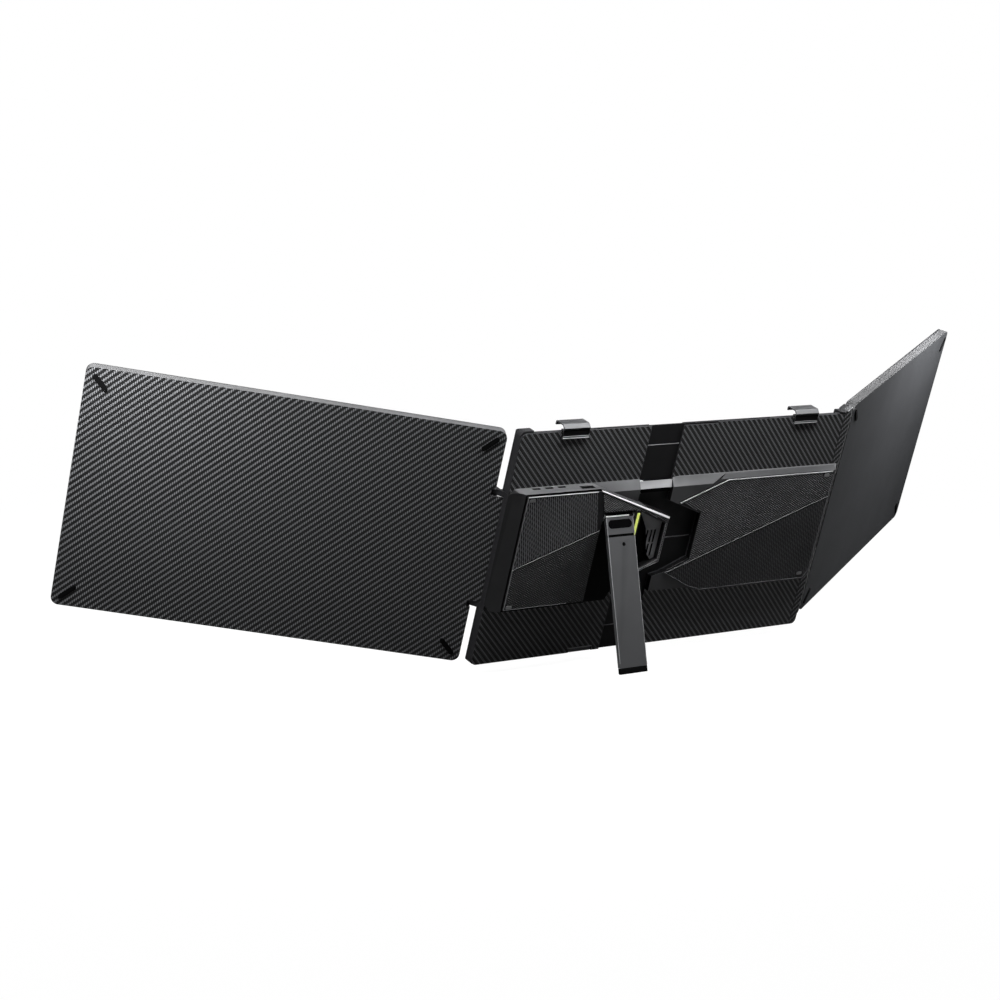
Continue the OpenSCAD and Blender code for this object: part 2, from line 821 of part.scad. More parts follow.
module driver_solid(d) {
    intersection() {
        slab(-driver_d + d, 0) polygon(inset(driver_outline, d));
        union() {
            bar_x(-100, 300) polygon([
                [0, 0], [-driver_d + d, 0], [-driver_d + d, case_top - shoulder_drop - d], [0, case_top - d]
            ]);
            intersection() {
                slab(-driver_d + d, 0) polygon(inset(platform_outline, d));
                bar_x(-100, 300) polygon([
                    [0, 0], [-driver_d + d, 0], [-driver_d + d, case_top - driver_d - d], [0, case_top - d]
                ]);
            }
        }
        translate([0, 0, -1]) linear_extrude(300) polygon([
            [-100, 0], [-100, -driver_d + d], [driver_right - 3 - d, -driver_d + d], [driver_right - d, 0]
        ]);
    }
}

module driver_housing() {
    color("#2c2d30") in_stance() difference() {
        driver_solid(0);
        driver_solid(1.2);
        block([right_edge + 12, -2, case_top - 24], [driver_right - 12, 1, case_top - 4]);
        bar_x(right_edge - 1, right_edge + 4) polygon(inset(duct_outline, -0.45));
    }
}

driver_mesh_outline = [
    [1.5, 75], [34.5, 58.3], [51, 53], [driver_right - 11, 53], [driver_right - 5.5, 61.5],
    [driver_right - 5.5, case_top - 7.5], [driver_right - 8, case_top - 5], [54, case_top - 5],
    [-0.5, 145.2], [28, 133.6], [28, 86.4]
];

module driver_mesh_cover() {
    color("#38393c") in_stance() difference() {
        slab(-driver_d - mesh_t, -driver_d) polygon(driver_mesh_outline);
        corner_cap_holes(driver_caps, 0.1);
    }
}

module driver_corner_caps() {
    color("#8d8f93") in_stance() corner_caps(driver_caps, -driver_d - mesh_t - 0.3);
}

module driver_board() {
    color("#1d4a33") in_stance() {
        block([driver_right - 110, -1, 70], [driver_right - 20, 0, 140]);
        block([driver_right - 96, -2.2, 92], [driver_right - 80, -1, 108]);
        block([driver_right - 60, -2.2, 100], [driver_right - 48, -1, 112]);
    }
}

// ---- Monitors ----

module wing_outline() {
    round_rect([0, 0], [wing_w, wing_h], wing_r);
}

module hinge_notch(depth) {
    block([-1, -1, notch_z], [depth, wing_t + 1, notch_z + notch_h]);
}

// Tab that covers the hinge tube from behind; its tip follows the swing
module hinge_tab() {
    intersection() {
        block([-tab_reach - 2, 0, tab_z], [wing_wall + 3, wing_wall, tab_z + tab_h]);
        rod_z(0, axis_n, 0, wing_h, sweep_r);
    }
}

bezel_y = wing_t - bezel_t;

// Hinge edge of the monitor that turns on the outer axis of the link
link_ear_z = [tab_z + 10.5, tab_z + tab_h - 25.5];
link_ear_h = 15;
link_notch = 1;

module link_notches(x0, x1) {
    for (z = link_ear_z) block([x0, -1, z - 0.4], [x1, wing_t + 1, z + link_ear_h + 0.4]);
}

module wing_cover(left) {
    hinge_edge = left ? 0 : 1;
    difference() {
        slab(0, bezel_y) wing_outline();
        slab(wing_wall, wing_t) round_rect([wing_wall, wing_wall], [wing_w - wing_wall, wing_h - wing_wall],
            wing_r - wing_wall);
        if (left) hinge_notch(notch_w);
        if (!left) link_notches(-1, link_notch);
        if (!left) block([-1, wing_t - 2 * link_tube_r - 1, link_ear_z[0] + link_ear_h],
            [wing_wall + hinge_edge, wing_t, link_ear_z[1]]);
        for (p = foot_places) foot_shape(p, 0.15, wing_wall / 2);
    }
    if (left) hinge_tab();
}

module wing_bezel(left) {
    difference() {
        slab(bezel_y, wing_t) wing_outline();
        slab(bezel_y - 1, wing_t + 1) translate([(wing_w - screen_w) / 2, (wing_h - screen_h) / 2])
            square([screen_w, screen_h]);
        if (left) hinge_notch(notch_w);
        if (!left) link_notches(-1, link_notch);
        if (!left) block([-1, -1, link_ear_z[0] + link_ear_h], [2.6, wing_t + 1, link_ear_z[1]]);
    }
}

panel_side = 2;
panel_glass = 2;

module wing_screen() {
    x0 = (wing_w - screen_w) / 2 - panel_side;
    z0 = (wing_h - screen_h) / 2 - 3;
    block([x0, bezel_y - panel_glass, z0], [wing_w - x0, bezel_y, wing_h - z0]);
}

module wing_backlight() {
    x0 = (wing_w - screen_w) / 2 - panel_side;
    z0 = (wing_h - screen_h) / 2 - 3;
    block([x0, wing_wall + 1.6, z0], [wing_w - x0, bezel_y - panel_glass, wing_h - z0]);
}

module wing_board() {
    block([wing_w / 2 - 90, wing_wall, 16], [wing_w / 2 + 90, wing_wall + 1, 42]);
    for (i = [-1:1]) block([wing_w / 2 + i * 50 - 8, wing_wall + 1, 22],
        [wing_w / 2 + i * 50 + 8, wing_wall + 1.6, 34]);
}

// Diagonal feet in the four corners of the back
foot_len = 18;
foot_w = 4;
foot_inset = 13;
foot_t = 1.2;
foot_places = [
    [foot_inset, foot_inset, 45], [wing_w - foot_inset, foot_inset, -45],
    [foot_inset, wing_h - foot_inset, -45], [wing_w - foot_inset, wing_h - foot_inset, 45]
];

module foot_shape(place, grow, depth) {
    slab(-foot_t, depth) translate([place.x, place.y]) rotate(-place.z) {
        r = foot_w / 2 + grow - e;
        round_rect([-r, -foot_len / 2 - grow], [r + e, foot_len / 2 + grow], r);
    }
}

module wing_feet() {
    for (p = foot_places) foot_shape(p, 0, wing_wall / 2);
}

// Steel leaf with the long hinge tube
leaf_reach = 42;

module hinge_leaf() {
    leaf_y = wing_wall;
    difference() {
        union() {
            rod_z(0, axis_n, tab_z, tab_z + tab_h, tube_r);
            block([2.4, leaf_y, tab_z], [notch_w + 1, axis_n, tab_z + tab_h]);
            block([2.4, leaf_y, tab_z], [leaf_reach, leaf_y + 1.2, tab_z + tab_h]);
        }
        rod_z(0, axis_n, 0, wing_h, pin_r + pin_gap);
    }
}

// Leaf of the right monitor, with one knuckle between the link's two
module outer_leaf() {
    axis_x = link_axis - wing_start;
    leaf_y = wing_wall;
    z0 = link_ear_z[0] + link_ear_h + 0.4;
    z1 = link_ear_z[1] - 0.4;
    difference() {
        union() {
            rod_z(axis_x, link_n, z0, z1, link_tube_r);
            block([axis_x, link_n - link_tube_r, z0], [2.4, link_n, z1]);
            block([wing_wall + 0.1, leaf_y, z0], [2.4, link_n, z1]);
            block([wing_wall + 0.1, leaf_y, z0], [leaf_reach, leaf_y + 1.2, z1]);
        }
        rod_z(axis_x, link_n, 0, wing_h, link_pin_r + pin_gap);
    }
}

module left_wing_cover() {
    color("#2f3033") in_stance() at_wing(-1) wing_cover(true);
}

module left_wing_bezel() {
    color("#222326") in_stance() at_wing(-1) wing_bezel(true);
}

module left_wing_screen() {
    color("#0a0c10") in_stance() at_wing(-1) wing_screen();
}

module left_wing_backlight() {
    color("white") in_stance() at_wing(-1) wing_backlight();
}

module left_wing_board() {
    color("#1d4a33") in_stance() at_wing(-1) wing_board();
}

module left_wing_feet() {
    color("#151516") in_stance() at_wing(-1) wing_feet();
}

module left_wing_hinge() {
    color("silver") in_stance() at_wing(-1) hinge_leaf();
}

module right_wing_cover() {
    color("#2f3033") in_stance() at_wing(1, wing_start) wing_cover(false);
}

module right_wing_bezel() {
    color("#222326") in_stance() at_wing(1, wing_start) wing_bezel(false);
}

module right_wing_screen() {
    color("#0a0c10") in_stance() at_wing(1, wing_start) wing_screen();
}

module right_wing_backlight() {
    color("white") in_stance() at_wing(1, wing_start) wing_backlight();
}

module right_wing_board() {
    color("#1d4a33") in_stance() at_wing(1, wing_start) wing_board();
}

module right_wing_feet() {
    color("#151516") in_stance() at_wing(1, wing_start) wing_feet();
}

module right_wing_hinge() {
    color("silver") in_stance() at_wing(1, wing_start) outer_leaf();
}

// ---- Spacer link of the right monitor ----

arm_t = 2.4;
link_split = axis_n - 2 * arm_t / 3;

module link_body(y0, y1) {
    difference() {
        slab(y0, y1) round_rect([0, 0], [link_w, wing_h], 3);
        hinge_notch(notch_w);
        block([link_w - 2.2, -1, link_ear_z[0] - 0.4],
            [link_w + 1, wing_t + 1, link_ear_z[1] + link_ear_h + 0.4]);
    }
}

module link_cover() {
    color("#2f3033") in_stance() at_wing(1) {
        difference() {
            link_body(0, link_split);
            block([notch_w + 1, wing_wall, 6], [link_w - 3.4, link_split + 1, wing_h - 6]);
            block([notch_w - 1, wing_wall, tab_z], [notch_w + 2, link_split + 1, tab_z + tab_h]);
            block([link_w - 4, wing_wall, link_ear_z[0] - 0.4],
                [link_w, link_split + 1, link_ear_z[1] + link_ear_h + 0.4]);
        }
        hinge_tab();
    }
}

module link_front() {
    color("#222326") in_stance() at_wing(1) difference() {
        link_body(link_split, wing_t);
        block([notch_w - 1, link_split - 1, tab_z], [link_w, axis_n + 0.1, tab_z + tab_h]);
        block([link_w - 4, link_split - 1, link_ear_z[0] - 0.4],
            [link_w, wing_t + 1, link_ear_z[1] + link_ear_h + 0.4]);
    }
}

// Steel arm that carries the inner tube and the outer ears
module link_arm() {
    arm_y = axis_n - arm_t;
    color("silver") in_stance() at_wing(1) difference() {
        union() {
            rod_z(0, axis_n, tab_z, tab_z + tab_h, tube_r);
            block([0, arm_y, tab_z], [link_w - 3.8, axis_n, tab_z + tab_h]);
            for (z = link_ear_z) {
                rod_z(link_axis, link_n, z, z + link_ear_h, link_tube_r);
                block([link_w - 3.9, arm_y, z], [link_axis - 0.6, axis_n, z + link_ear_h]);
                block([link_w - 2.4, arm_y, z], [link_axis - 0.6, link_n, z + link_ear_h]);
            }
        }
        rod_z(0, axis_n, 0, wing_h, pin_r + pin_gap);
        rod_z(link_axis, link_n, 0, wing_h, link_pin_r + pin_gap);
    }
}

module link_pin() {
    color("silver") in_stance() at_wing(1)
        rod_z(link_axis, link_n, link_ear_z[0] - 0.3, link_ear_z[1] + link_ear_h + 0.3, link_pin_r);
}

left_back_plate();
left_side_rail();
left_front_liner();
left_lid_pads();
lower_lid_hook();
controller_housing();
controller_mesh_cover();
stand_surround();
accent_strip();
main_board();
usb_c_sockets();
hdmi_socket();
controller_corner_caps();
centre_tray();
cable_duct();
slide_strips();
stand_bracket();
stand_pin();
left_hinge_bracket();
left_hinge_pin();
right_back_plate();
right_side_rail();
right_front_liner();
right_lid_pads();
driver_housing();
driver_mesh_cover();
driver_board();
driver_corner_caps();
right_hinge_bracket();
right_hinge_pin();
left_top_clip();
right_top_clip();
stand_leg();
stand_badge();
stand_foot();
stand_barrel();
left_wing_cover();
left_wing_bezel();
left_wing_screen();
left_wing_backlight();
left_wing_board();
left_wing_feet();
left_wing_hinge();
link_cover();
link_front();
link_arm();
link_pin();
right_wing_cover();
right_wing_bezel();
right_wing_screen();
right_wing_backlight();
right_wing_board();
right_wing_feet();
right_wing_hinge();
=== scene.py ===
import json
import math

import bmesh
import bpy
from mathutils import Matrix, Vector

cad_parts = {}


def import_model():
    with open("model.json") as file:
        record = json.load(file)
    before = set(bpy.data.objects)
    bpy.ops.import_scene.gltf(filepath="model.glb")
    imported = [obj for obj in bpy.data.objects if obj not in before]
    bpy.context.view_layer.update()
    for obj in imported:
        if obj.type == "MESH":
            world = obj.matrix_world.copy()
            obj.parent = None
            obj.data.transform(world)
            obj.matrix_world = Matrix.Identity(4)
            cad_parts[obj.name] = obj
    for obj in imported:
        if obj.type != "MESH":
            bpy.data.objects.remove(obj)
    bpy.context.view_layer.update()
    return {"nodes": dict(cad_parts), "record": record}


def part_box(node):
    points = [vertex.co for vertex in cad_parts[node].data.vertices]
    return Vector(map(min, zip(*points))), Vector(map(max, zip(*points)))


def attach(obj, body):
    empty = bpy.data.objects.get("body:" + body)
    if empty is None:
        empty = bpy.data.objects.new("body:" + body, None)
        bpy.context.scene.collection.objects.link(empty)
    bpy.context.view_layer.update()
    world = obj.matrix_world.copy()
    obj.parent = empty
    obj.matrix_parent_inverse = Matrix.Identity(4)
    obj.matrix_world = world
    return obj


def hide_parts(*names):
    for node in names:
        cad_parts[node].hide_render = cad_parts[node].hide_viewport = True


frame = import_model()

NODES = frame["nodes"]
SLOT_OF = {part["node"]: part["material_slot"] for part in frame["record"]["subparts"]}
BODY_OF = {n: b for b, ns in frame["record"]["behaviour"]["bodies"].items() for n in ns}
MM = 0.001

# ---- The CAD model's own frames, in mm -------------------------------------------------------
# Panel frame: X to the right seen from the back, Y to the user, Z up the centre frame.
LEAN = math.radians(19)
SEAT_Y, HALF_H = 5.4, 110.5
HINGE = Vector((201.3, 15.8, 0))
AXIS_N = 6.6
TOE = {-1: math.radians(30.4), 1: math.radians(29.5)}
WING_START = 22.4
STANCE = (
    Matrix.Scale(MM, 4)
    @ Matrix.Rotation(LEAN, 4, "X")
    @ Matrix.Translation((0, -SEAT_Y, -HALF_H))
)


def wing_frame(side, start=0.0):
    """Monitor frame to panel frame: X outward, Y from the back to the screen."""
    mirror = Matrix.Diagonal((side, 1, 1, 1))
    turn = Matrix.Rotation(TOE[side], 4, "Z")
    return mirror @ Matrix.Translation(HINGE) @ turn @ Matrix.Translation((start, -AXIS_N, 0))


FRAMES = {
    "panel": Matrix.Identity(4),
    "left_wing": wing_frame(-1),
    "right_wing": wing_frame(1, WING_START),
    "link": wing_frame(1),
}
TO_WORLD = {k: STANCE @ m for k, m in FRAMES.items()}
TO_LOCAL = {k: m.inverted() for k, m in TO_WORLD.items()}


# ---- Node trees ----------------------------------------------------------------------------


class Net:
    """Short calls for building one material's node tree."""

    def __init__(self, name):
        self.mat = bpy.data.materials.new(name)
        self.mat.use_nodes = True
        self.tree = self.mat.node_tree
        self.tree.nodes.clear()
        self.out = self.add("ShaderNodeOutputMaterial")
        self.bsdf = self.add("ShaderNodeBsdfPrincipled")
        self.link(self.bsdf.outputs[0], self.out.inputs[0])

    def add(self, kind, **props):
        node = self.tree.nodes.new(kind)
        for key, value in props.items():
            setattr(node, key, value)
        return node

    def link(self, a, b):
        self.tree.links.new(a, b)

    def put(self, socket, value):
        if hasattr(value, "is_output"):
            self.link(value, socket)
        else:
            socket.default_value = value

    def math(self, op, a, b=None):
        node = self.add("ShaderNodeMath", operation=op)
        for socket, value in zip(node.inputs, (a, b)):
            if value is not None:
                self.put(socket, value)
        return node.outputs[0]

    def mix(self, fac, a, b):
        node = self.add("ShaderNodeMix", data_type="RGBA")
        self.put(node.inputs[0], fac)
        for socket, value in ((node.inputs[6], a), (node.inputs[7], b)):
            self.put(socket, (*value, 1.0) if isinstance(value, tuple) and len(value) == 3 else value)
        return node.outputs[2]

    def coords(self, local):
        """Position in a CAD frame, in mm."""
        vector = self.add("ShaderNodeTexCoord").outputs["Object"]
        m = TO_LOCAL[local]
        node = self.add("ShaderNodeMapping")
        self.link(vector, node.inputs[0])
        loc, rot, scale = m.decompose()
        flipped = m.determinant() < 0
        if flipped:
            first = self.add("ShaderNodeMapping")
            self.link(vector, first.inputs[0])
            first.inputs["Scale"].default_value = (-1, 1, 1)
            self.link(first.outputs[0], node.inputs[0])
            loc, rot, scale = (m @ Matrix.Diagonal((-1, 1, 1, 1))).decompose()
        node.inputs["Location"].default_value = loc
        node.inputs["Rotation"].default_value = rot.to_euler("XYZ")
        node.inputs["Scale"].default_value = scale
        return node.outputs[0]

    def split(self, vector):
        node = self.add("ShaderNodeSeparateXYZ")
        self.link(vector, node.inputs[0])
        return node.outputs

    def noise(self, vector, scale, detail=3.0, stretch=None):
        if stretch:
            mapping = self.add("ShaderNodeMapping")
            self.link(vector, mapping.inputs[0])
            mapping.inputs["Scale"].default_value = stretch
            vector = mapping.outputs[0]
        node = self.add("ShaderNodeTexNoise")
        self.link(vector, node.inputs["Vector"])
        node.inputs["Scale"].default_value = scale
        node.inputs["Detail"].default_value = detail
        return node.outputs[0]

    def bump(self, height, distance, strength=1.0):
        node = self.add("ShaderNodeBump")
        node.inputs["Strength"].default_value = strength
        node.inputs["Distance"].default_value = distance * MM
        self.link(height, node.inputs["Height"])
        return node.outputs[0]

    def remap(self, value, low, high, to_low, to_high):
        node = self.add("ShaderNodeMapRange")
        self.link(value, node.inputs[0])
        for i, number in enumerate((low, high, to_low, to_high)):
            node.inputs[i + 1].default_value = number
        return node.outputs[0]

    def finish(self, color, roughness, normal=None, **plain):
        self.put(self.bsdf.inputs["Base Color"], (*color, 1.0) if isinstance(color, tuple) else color)
        self.put(self.bsdf.inputs["Roughness"], roughness)
        if normal is not None:
            self.link(normal, self.bsdf.inputs["Normal"])
        for key, value in plain.items():
            self.bsdf.inputs[key.replace("_", " ")].default_value = value
        return self.mat


def edge_wear_and_highlight(net, color, amount):
    """Colour a little lighter on convex edges: partly rubbed wear, partly a painted highlight."""
    geometry = net.add("ShaderNodeNewGeometry")
    edge_lift = net.remap(geometry.outputs["Pointiness"], 0.505, 0.56, 0.0, amount)
    lighter = net.mix(1.0, color, color)
    node = lighter.node
    node.blend_type = "ADD"
    node.inputs[7].default_value = (0.04, 0.04, 0.042, 1.0)
    net.link(edge_lift, node.inputs[0])
    return lighter


def moulded(name, base, rough, local="panel", grain=3.0, depth=0.02, specular=0.22, wear_and_highlight=0.6,
            spread=0.12):
    """Moulded plastic or paint: fine spark-eroded grain, slight cloudiness, edges a little lighter,
    partly rubbed and partly a painted highlight.
    """
    net = Net(name)
    at = net.coords(local)
    clouds = net.noise(at, 0.03, 4.0)
    grain_h = net.noise(at, grain, 2.0)
    dark = tuple(c * (1 - spread) for c in base)
    light = tuple(c * (1 + spread) for c in base)
    color = net.mix(net.remap(clouds, 0.35, 0.65, 0.0, 1.0), dark, light)
    color = edge_wear_and_highlight(net, color, wear_and_highlight)
    roughness = net.remap(grain_h, 0.3, 0.7, rough - 0.05, rough + 0.05)
    return net.finish(color, roughness, net.bump(grain_h, depth), Specular_IOR_Level=specular)


def metal(name, base, rough, local="panel", along=(0.02, 1.0, 1.0), metallic=1.0):
    """Brushed or plated metal with fine lines along one direction."""
    net = Net(name)
    at = net.coords(local)
    lines = net.noise(at, 6.0, 3.0, stretch=along)
    smudge = net.noise(at, 0.06, 3.0)
    dark, light = tuple(c * 0.85 for c in base), tuple(min(1.0, c * 1.12) for c in base)
    # edges a little lighter: partly rubbed, partly a painted highlight
    color = edge_wear_and_highlight(net, net.mix(lines, dark, light), 0.3)
    roughness = net.math("ADD", net.remap(lines, 0.3, 0.7, rough - 0.06, rough + 0.06),
                         net.remap(smudge, 0.3, 0.7, -0.04, 0.06))
    return net.finish(color, roughness, net.bump(lines, 0.006), Metallic=metallic)


DOWN_LEG = (1.0, 1.0, 0.03)  # stretch of brushed lines that run down the leg
TOW = 1.525  # width of one tow of the weave
# Warp tows: light colours that paint the sheen of fibres facing the light. Weft tows: the fibres' own
# dark colour.
WARP_PAINTED_SHEEN = (0.104, 0.105, 0.110), (0.198, 0.203, 0.213)
WEFT_COLORS = (0.004, 0.004, 0.0043), (0.012, 0.0123, 0.013)


def carbon(name, local, slope):
    """2/2 twill in a satin lacquer. slope 1 or -1 sets which way its ribs run. The warp tows' lighter
    colour is a painted sheen, and the darkening towards each tow's edges is painted shade.
    """
    net = Net(name)
    at = net.coords(local)
    x, _, z = net.split(at)
    fx = net.math("DIVIDE", x if slope > 0 else net.math("MULTIPLY", x, -1.0), TOW)
    fz = net.math("DIVIDE", z, TOW)
    cx, cz = net.math("FLOOR", fx), net.math("FLOOR", fz)
    over = net.math("LESS_THAN", net.math("FLOORED_MODULO", net.math("ADD", cx, cz), 4.0), 1.5)
    across_x = net.math("SINE", net.math("MULTIPLY", net.math("FRACT", fx), math.pi))
    across_z = net.math("SINE", net.math("MULTIPLY", net.math("FRACT", fz), math.pi))
    run_z = net.math("FLOORED_MODULO", net.math("ADD", cx, fz), 4.0)
    run_x = net.math("FLOORED_MODULO", net.math("ADD", fx, cz), 4.0)
    crown_z = net.math("ABSOLUTE", net.math("SINE", net.math("MULTIPLY", run_z, math.pi / 2)))
    crown_x = net.math("ABSOLUTE", net.math("SINE", net.math("MULTIPLY", run_x, math.pi / 2)))
    warp = net.math("MULTIPLY", net.math("POWER", across_x, 0.5), net.math("POWER", crown_z, 0.35))
    weft = net.math("MULTIPLY", net.math("POWER", across_z, 0.5), net.math("POWER", crown_x, 0.35))
    height = net.add("ShaderNodeMix", data_type="FLOAT")
    net.link(over, height.inputs[0])
    net.link(weft, height.inputs[2])
    net.link(warp, height.inputs[3])
    height = height.outputs[0]
    fibre_z = net.noise(at, 5.0, 2.0, stretch=(1.0, 1.0, 0.08))
    fibre_x = net.noise(at, 5.0, 2.0, stretch=(0.08, 1.0, 1.0))
    # warp tows made lighter by a painted sheen
    light = net.mix(net.remap(fibre_z, 0.3, 0.7, 0.0, 1.0), *WARP_PAINTED_SHEEN)
    dark = net.mix(net.remap(fibre_x, 0.3, 0.7, 0.0, 1.0), *WEFT_COLORS)
    color = net.mix(over, dark, light)
    # painted shade, darker towards the tows' edges and into the gaps
    shade = net.remap(height, 0.3, 0.92, 0.0, 1.0)
    gap_painted_shade = net.mix(shade, (0.003, 0.003, 0.003), color)
    roughness = net.remap(height, 0.0, 1.0, 0.6, 0.42)
    return net.finish(gap_painted_shade, roughness, net.bump(height, 0.05, 0.8), Specular_IOR_Level=0.26)


def board_material(name, local):
    """Green solder mask with tracks and gold pads."""
    net = Net(name)
    at = net.coords(local)
    tracks = net.add("ShaderNodeTexVoronoi", feature="DISTANCE_TO_EDGE", distance="CHEBYCHEV")
    net.link(at, tracks.inputs["Vector"])
    tracks.inputs["Scale"].default_value = 0.45
    pads = net.add("ShaderNodeTexVoronoi", feature="F1")
    net.link(at, pads.inputs["Vector"])
    pads.inputs["Scale"].default_value = 0.6
    track = net.math("LESS_THAN", tracks.outputs[0], 0.06)
    pad = net.math("LESS_THAN", pads.outputs[0], 0.12)
    color = net.mix(track, (0.012, 0.09, 0.045), (0.03, 0.2, 0.1))
    color = net.mix(pad, color, (0.6, 0.45, 0.15))
    return net.finish(color, net.remap(pad, 0.0, 1.0, 0.35, 0.25), net.bump(track, 0.03))


def light_strip(name):
    """Lime strip with fine ribs and a little painted glow."""
    net = Net(name)
    at = net.coords("panel")
    ribs = net.add("ShaderNodeTexWave", bands_direction="Z", wave_profile="SIN")
    net.link(at, ribs.inputs["Vector"])
    ribs.inputs["Scale"].default_value = 0.6
    color = net.mix(ribs.outputs["Fac"], (0.6, 0.7, 0.12), (0.78, 0.86, 0.24))
    mat = net.finish(color, 0.3, net.bump(ribs.outputs["Fac"], 0.05), Specular_IOR_Level=0.5)
    # painted glow: the strip emits its own colour though it is no lamp
    net.link(color, net.bsdf.inputs["Emission Color"])
    net.bsdf.inputs["Emission Strength"].default_value = 0.45
    return mat


def screen_material(name, local):
    """Anti-glare display surface, switched off."""
    net = Net(name)
    at = net.coords(local)
    sparkle = net.noise(at, 9.0, 1.0)
    smear = net.noise(at, 0.02, 4.0)
    color = net.mix(smear, (0.006, 0.007, 0.009), (0.012, 0.013, 0.016))
    return net.finish(color, net.remap(smear, 0.3, 0.7, 0.16, 0.26), net.bump(sparkle, 0.002),
                      Specular_IOR_Level=0.5)


def rubber_material(name, local):
    """Dull black rubber, its edges a little lighter: partly rubbed, partly a painted highlight."""
    net = Net(name)
    at = net.coords(local)
    grain = net.noise(at, 4.0, 4.0)
    color = net.mix(grain, (0.0012, 0.0012, 0.0013), (0.0032, 0.0032, 0.0034))
    return net.finish(edge_wear_and_highlight(net, color, 0.08), net.remap(grain, 0.3, 0.7, 0.7, 0.85),
                      net.bump(grain, 0.04), Specular_IOR_Level=0.04)


def place_of(node):
    for key in ("left_wing", "right_wing", "link"):
        if node.startswith(key):
            return key
    return "panel"


MATERIALS = {}


def material(kind, local="panel"):
    """One material per finish and frame, made when it is first asked for."""
    key = (kind, local)
    if key in MATERIALS:
        return MATERIALS[key]
    name = f"{kind}_{local}"
    make = {
        "carbon_weave": lambda: carbon(name, local, 1),
        "carbon_turned": lambda: carbon(name, local, -1),
        "dark_cover": lambda: moulded(name, (0.0345, 0.0355, 0.0378), 0.6, local, 1.3, 0.035,
                                      specular=0.05, wear_and_highlight=0.0, spread=0.05),
        "frame_plastic": lambda: moulded(name, (0.012, 0.012, 0.013), 0.42, local),
        "rim_plastic": lambda: moulded(name, (0.06, 0.0605, 0.0625), 0.38, local, depth=0.01),
        "rim_dark": lambda: moulded(name, (0.036, 0.0363, 0.0375), 0.42, local, depth=0.002),
        # painted shade: darker colour for the controller's outer left wall
        "wall_painted_shade": lambda: moulded(name, (0.0085, 0.0086, 0.009), 0.42, local, specular=0.15),
        "tray_plastic": lambda: moulded(name, (0.005, 0.0051, 0.0055), 0.5, local, specular=0.12),
        "housing_plastic": lambda: moulded(name, (0.032, 0.0325, 0.034), 0.42, local),
        "mesh_plastic": lambda: moulded(name, (0.008, 0.0081, 0.0086), 0.5, local, specular=0.15),
        # painted light: lighter recess floor, against the shade over it
        "recess_painted_light": lambda: moulded(name, (0.13, 0.131, 0.136), 0.45, local, depth=0.008),
        # painted light: lighter colour for the upper zone of the mesh covers
        "mesh_painted_light": lambda: moulded(name, (0.105, 0.106, 0.111), 0.45, local, depth=0.01),
        "mesh_stud": lambda: moulded(name, (0.062, 0.0626, 0.066), 0.45, local, depth=0.01),
        # painted shade: darker colour for the lower zone of the mesh covers and the channel by the
        # trench
        "mesh_painted_shade": lambda: moulded(name, (0.03, 0.0303, 0.032), 0.45, local, depth=0.01),
        "duct_plastic": lambda: moulded(name, (0.28, 0.283, 0.291), 0.35, local, depth=0.008),
        # painted highlight: lighter chamfers along the driver housing's top
        "chamfer_painted_highlight": lambda: moulded(name, (0.100, 0.101, 0.104), 0.35, local, depth=0.008),
        # painted highlight, dimmer: chamfers along the controller housing's top
        "chamfer_dim_painted_highlight": lambda: moulded(name, (0.081, 0.082, 0.085), 0.35, local, depth=0.008),
        # painted highlight: near white top rims and leg edge lines
        "rim_painted_highlight": lambda: moulded(name, (0.3, 0.303, 0.31), 0.3, local, depth=0.004, wear_and_highlight=0.0),
        # painted highlight: light lines on seams, rims, the hook and the ring's edges
        "line_painted_highlight": lambda: moulded(name, (0.11, 0.111, 0.115), 0.3, local, depth=0.004),
        # painted highlight: near white bars on the nose and the leg's hinge barrel
        "trim_painted_highlight": lambda: moulded(name, (0.62, 0.624, 0.63), 0.3, local, depth=0.002, wear_and_highlight=0.0),
        # painted shade: near black for faces in trenches, recesses, gaps and undersides
        "painted_shade_plastic": lambda: moulded(name, (0.0025, 0.0025, 0.0027), 0.7, local,
                                          specular=0.05, wear_and_highlight=0.1),
        # painted shade: near black sockets, whose openings lie in shade
        "socket_painted_shade": lambda: metal(name, (0.01, 0.01, 0.011), 0.5, local, metallic=0.3),
        "cap_plastic": lambda: moulded(name, (0.1, 0.1, 0.103), 0.4, local),
        "light_strip": lambda: light_strip(name),
        "circuit_board": lambda: board_material(name, local),
        "plated_steel": lambda: metal(name, (0.62, 0.62, 0.63), 0.28, local),
        "bracket_metal": lambda: metal(name, (0.02, 0.02, 0.022), 0.4, local, metallic=0.5),
        "clip_metal": lambda: metal(name, (0.045, 0.046, 0.048), 0.42, local, metallic=0.35),
        # painted highlight: lighter sloped top of the clips
        "clip_painted_highlight": lambda: metal(name, (0.085, 0.0865, 0.09), 0.42, local, metallic=0.2),
        # painted highlight: light bevels down the leg's sides
        "edge_painted_highlight": lambda: metal(name, (0.45, 0.455, 0.465), 0.35, local, along=DOWN_LEG,
                                    metallic=0.3),
        "stand_metal": lambda: metal(name, (0.10, 0.102, 0.106), 0.38, local, along=DOWN_LEG,
                                     metallic=0.6),
        "badge_gloss": lambda: moulded(name, (0.0015, 0.0015, 0.0018), 0.2, local, depth=0.001,
                                       specular=0.12, wear_and_highlight=0.0),
        "rubber": lambda: rubber_material(name, local),
        "screen_glass": lambda: screen_material(name, local),
        "diffuser": lambda: moulded(name, (0.8, 0.8, 0.78), 0.6, local, wear_and_highlight=0.0),
    }[kind]
    MATERIALS[key] = make()
    return MATERIALS[key]


for node, obj in NODES.items():
    obj.data.materials.clear()
    obj.data.materials.append(material(SLOT_OF[node], place_of(node)))


# ---- Refined copies of CAD nodes --------------------------------------------------------------


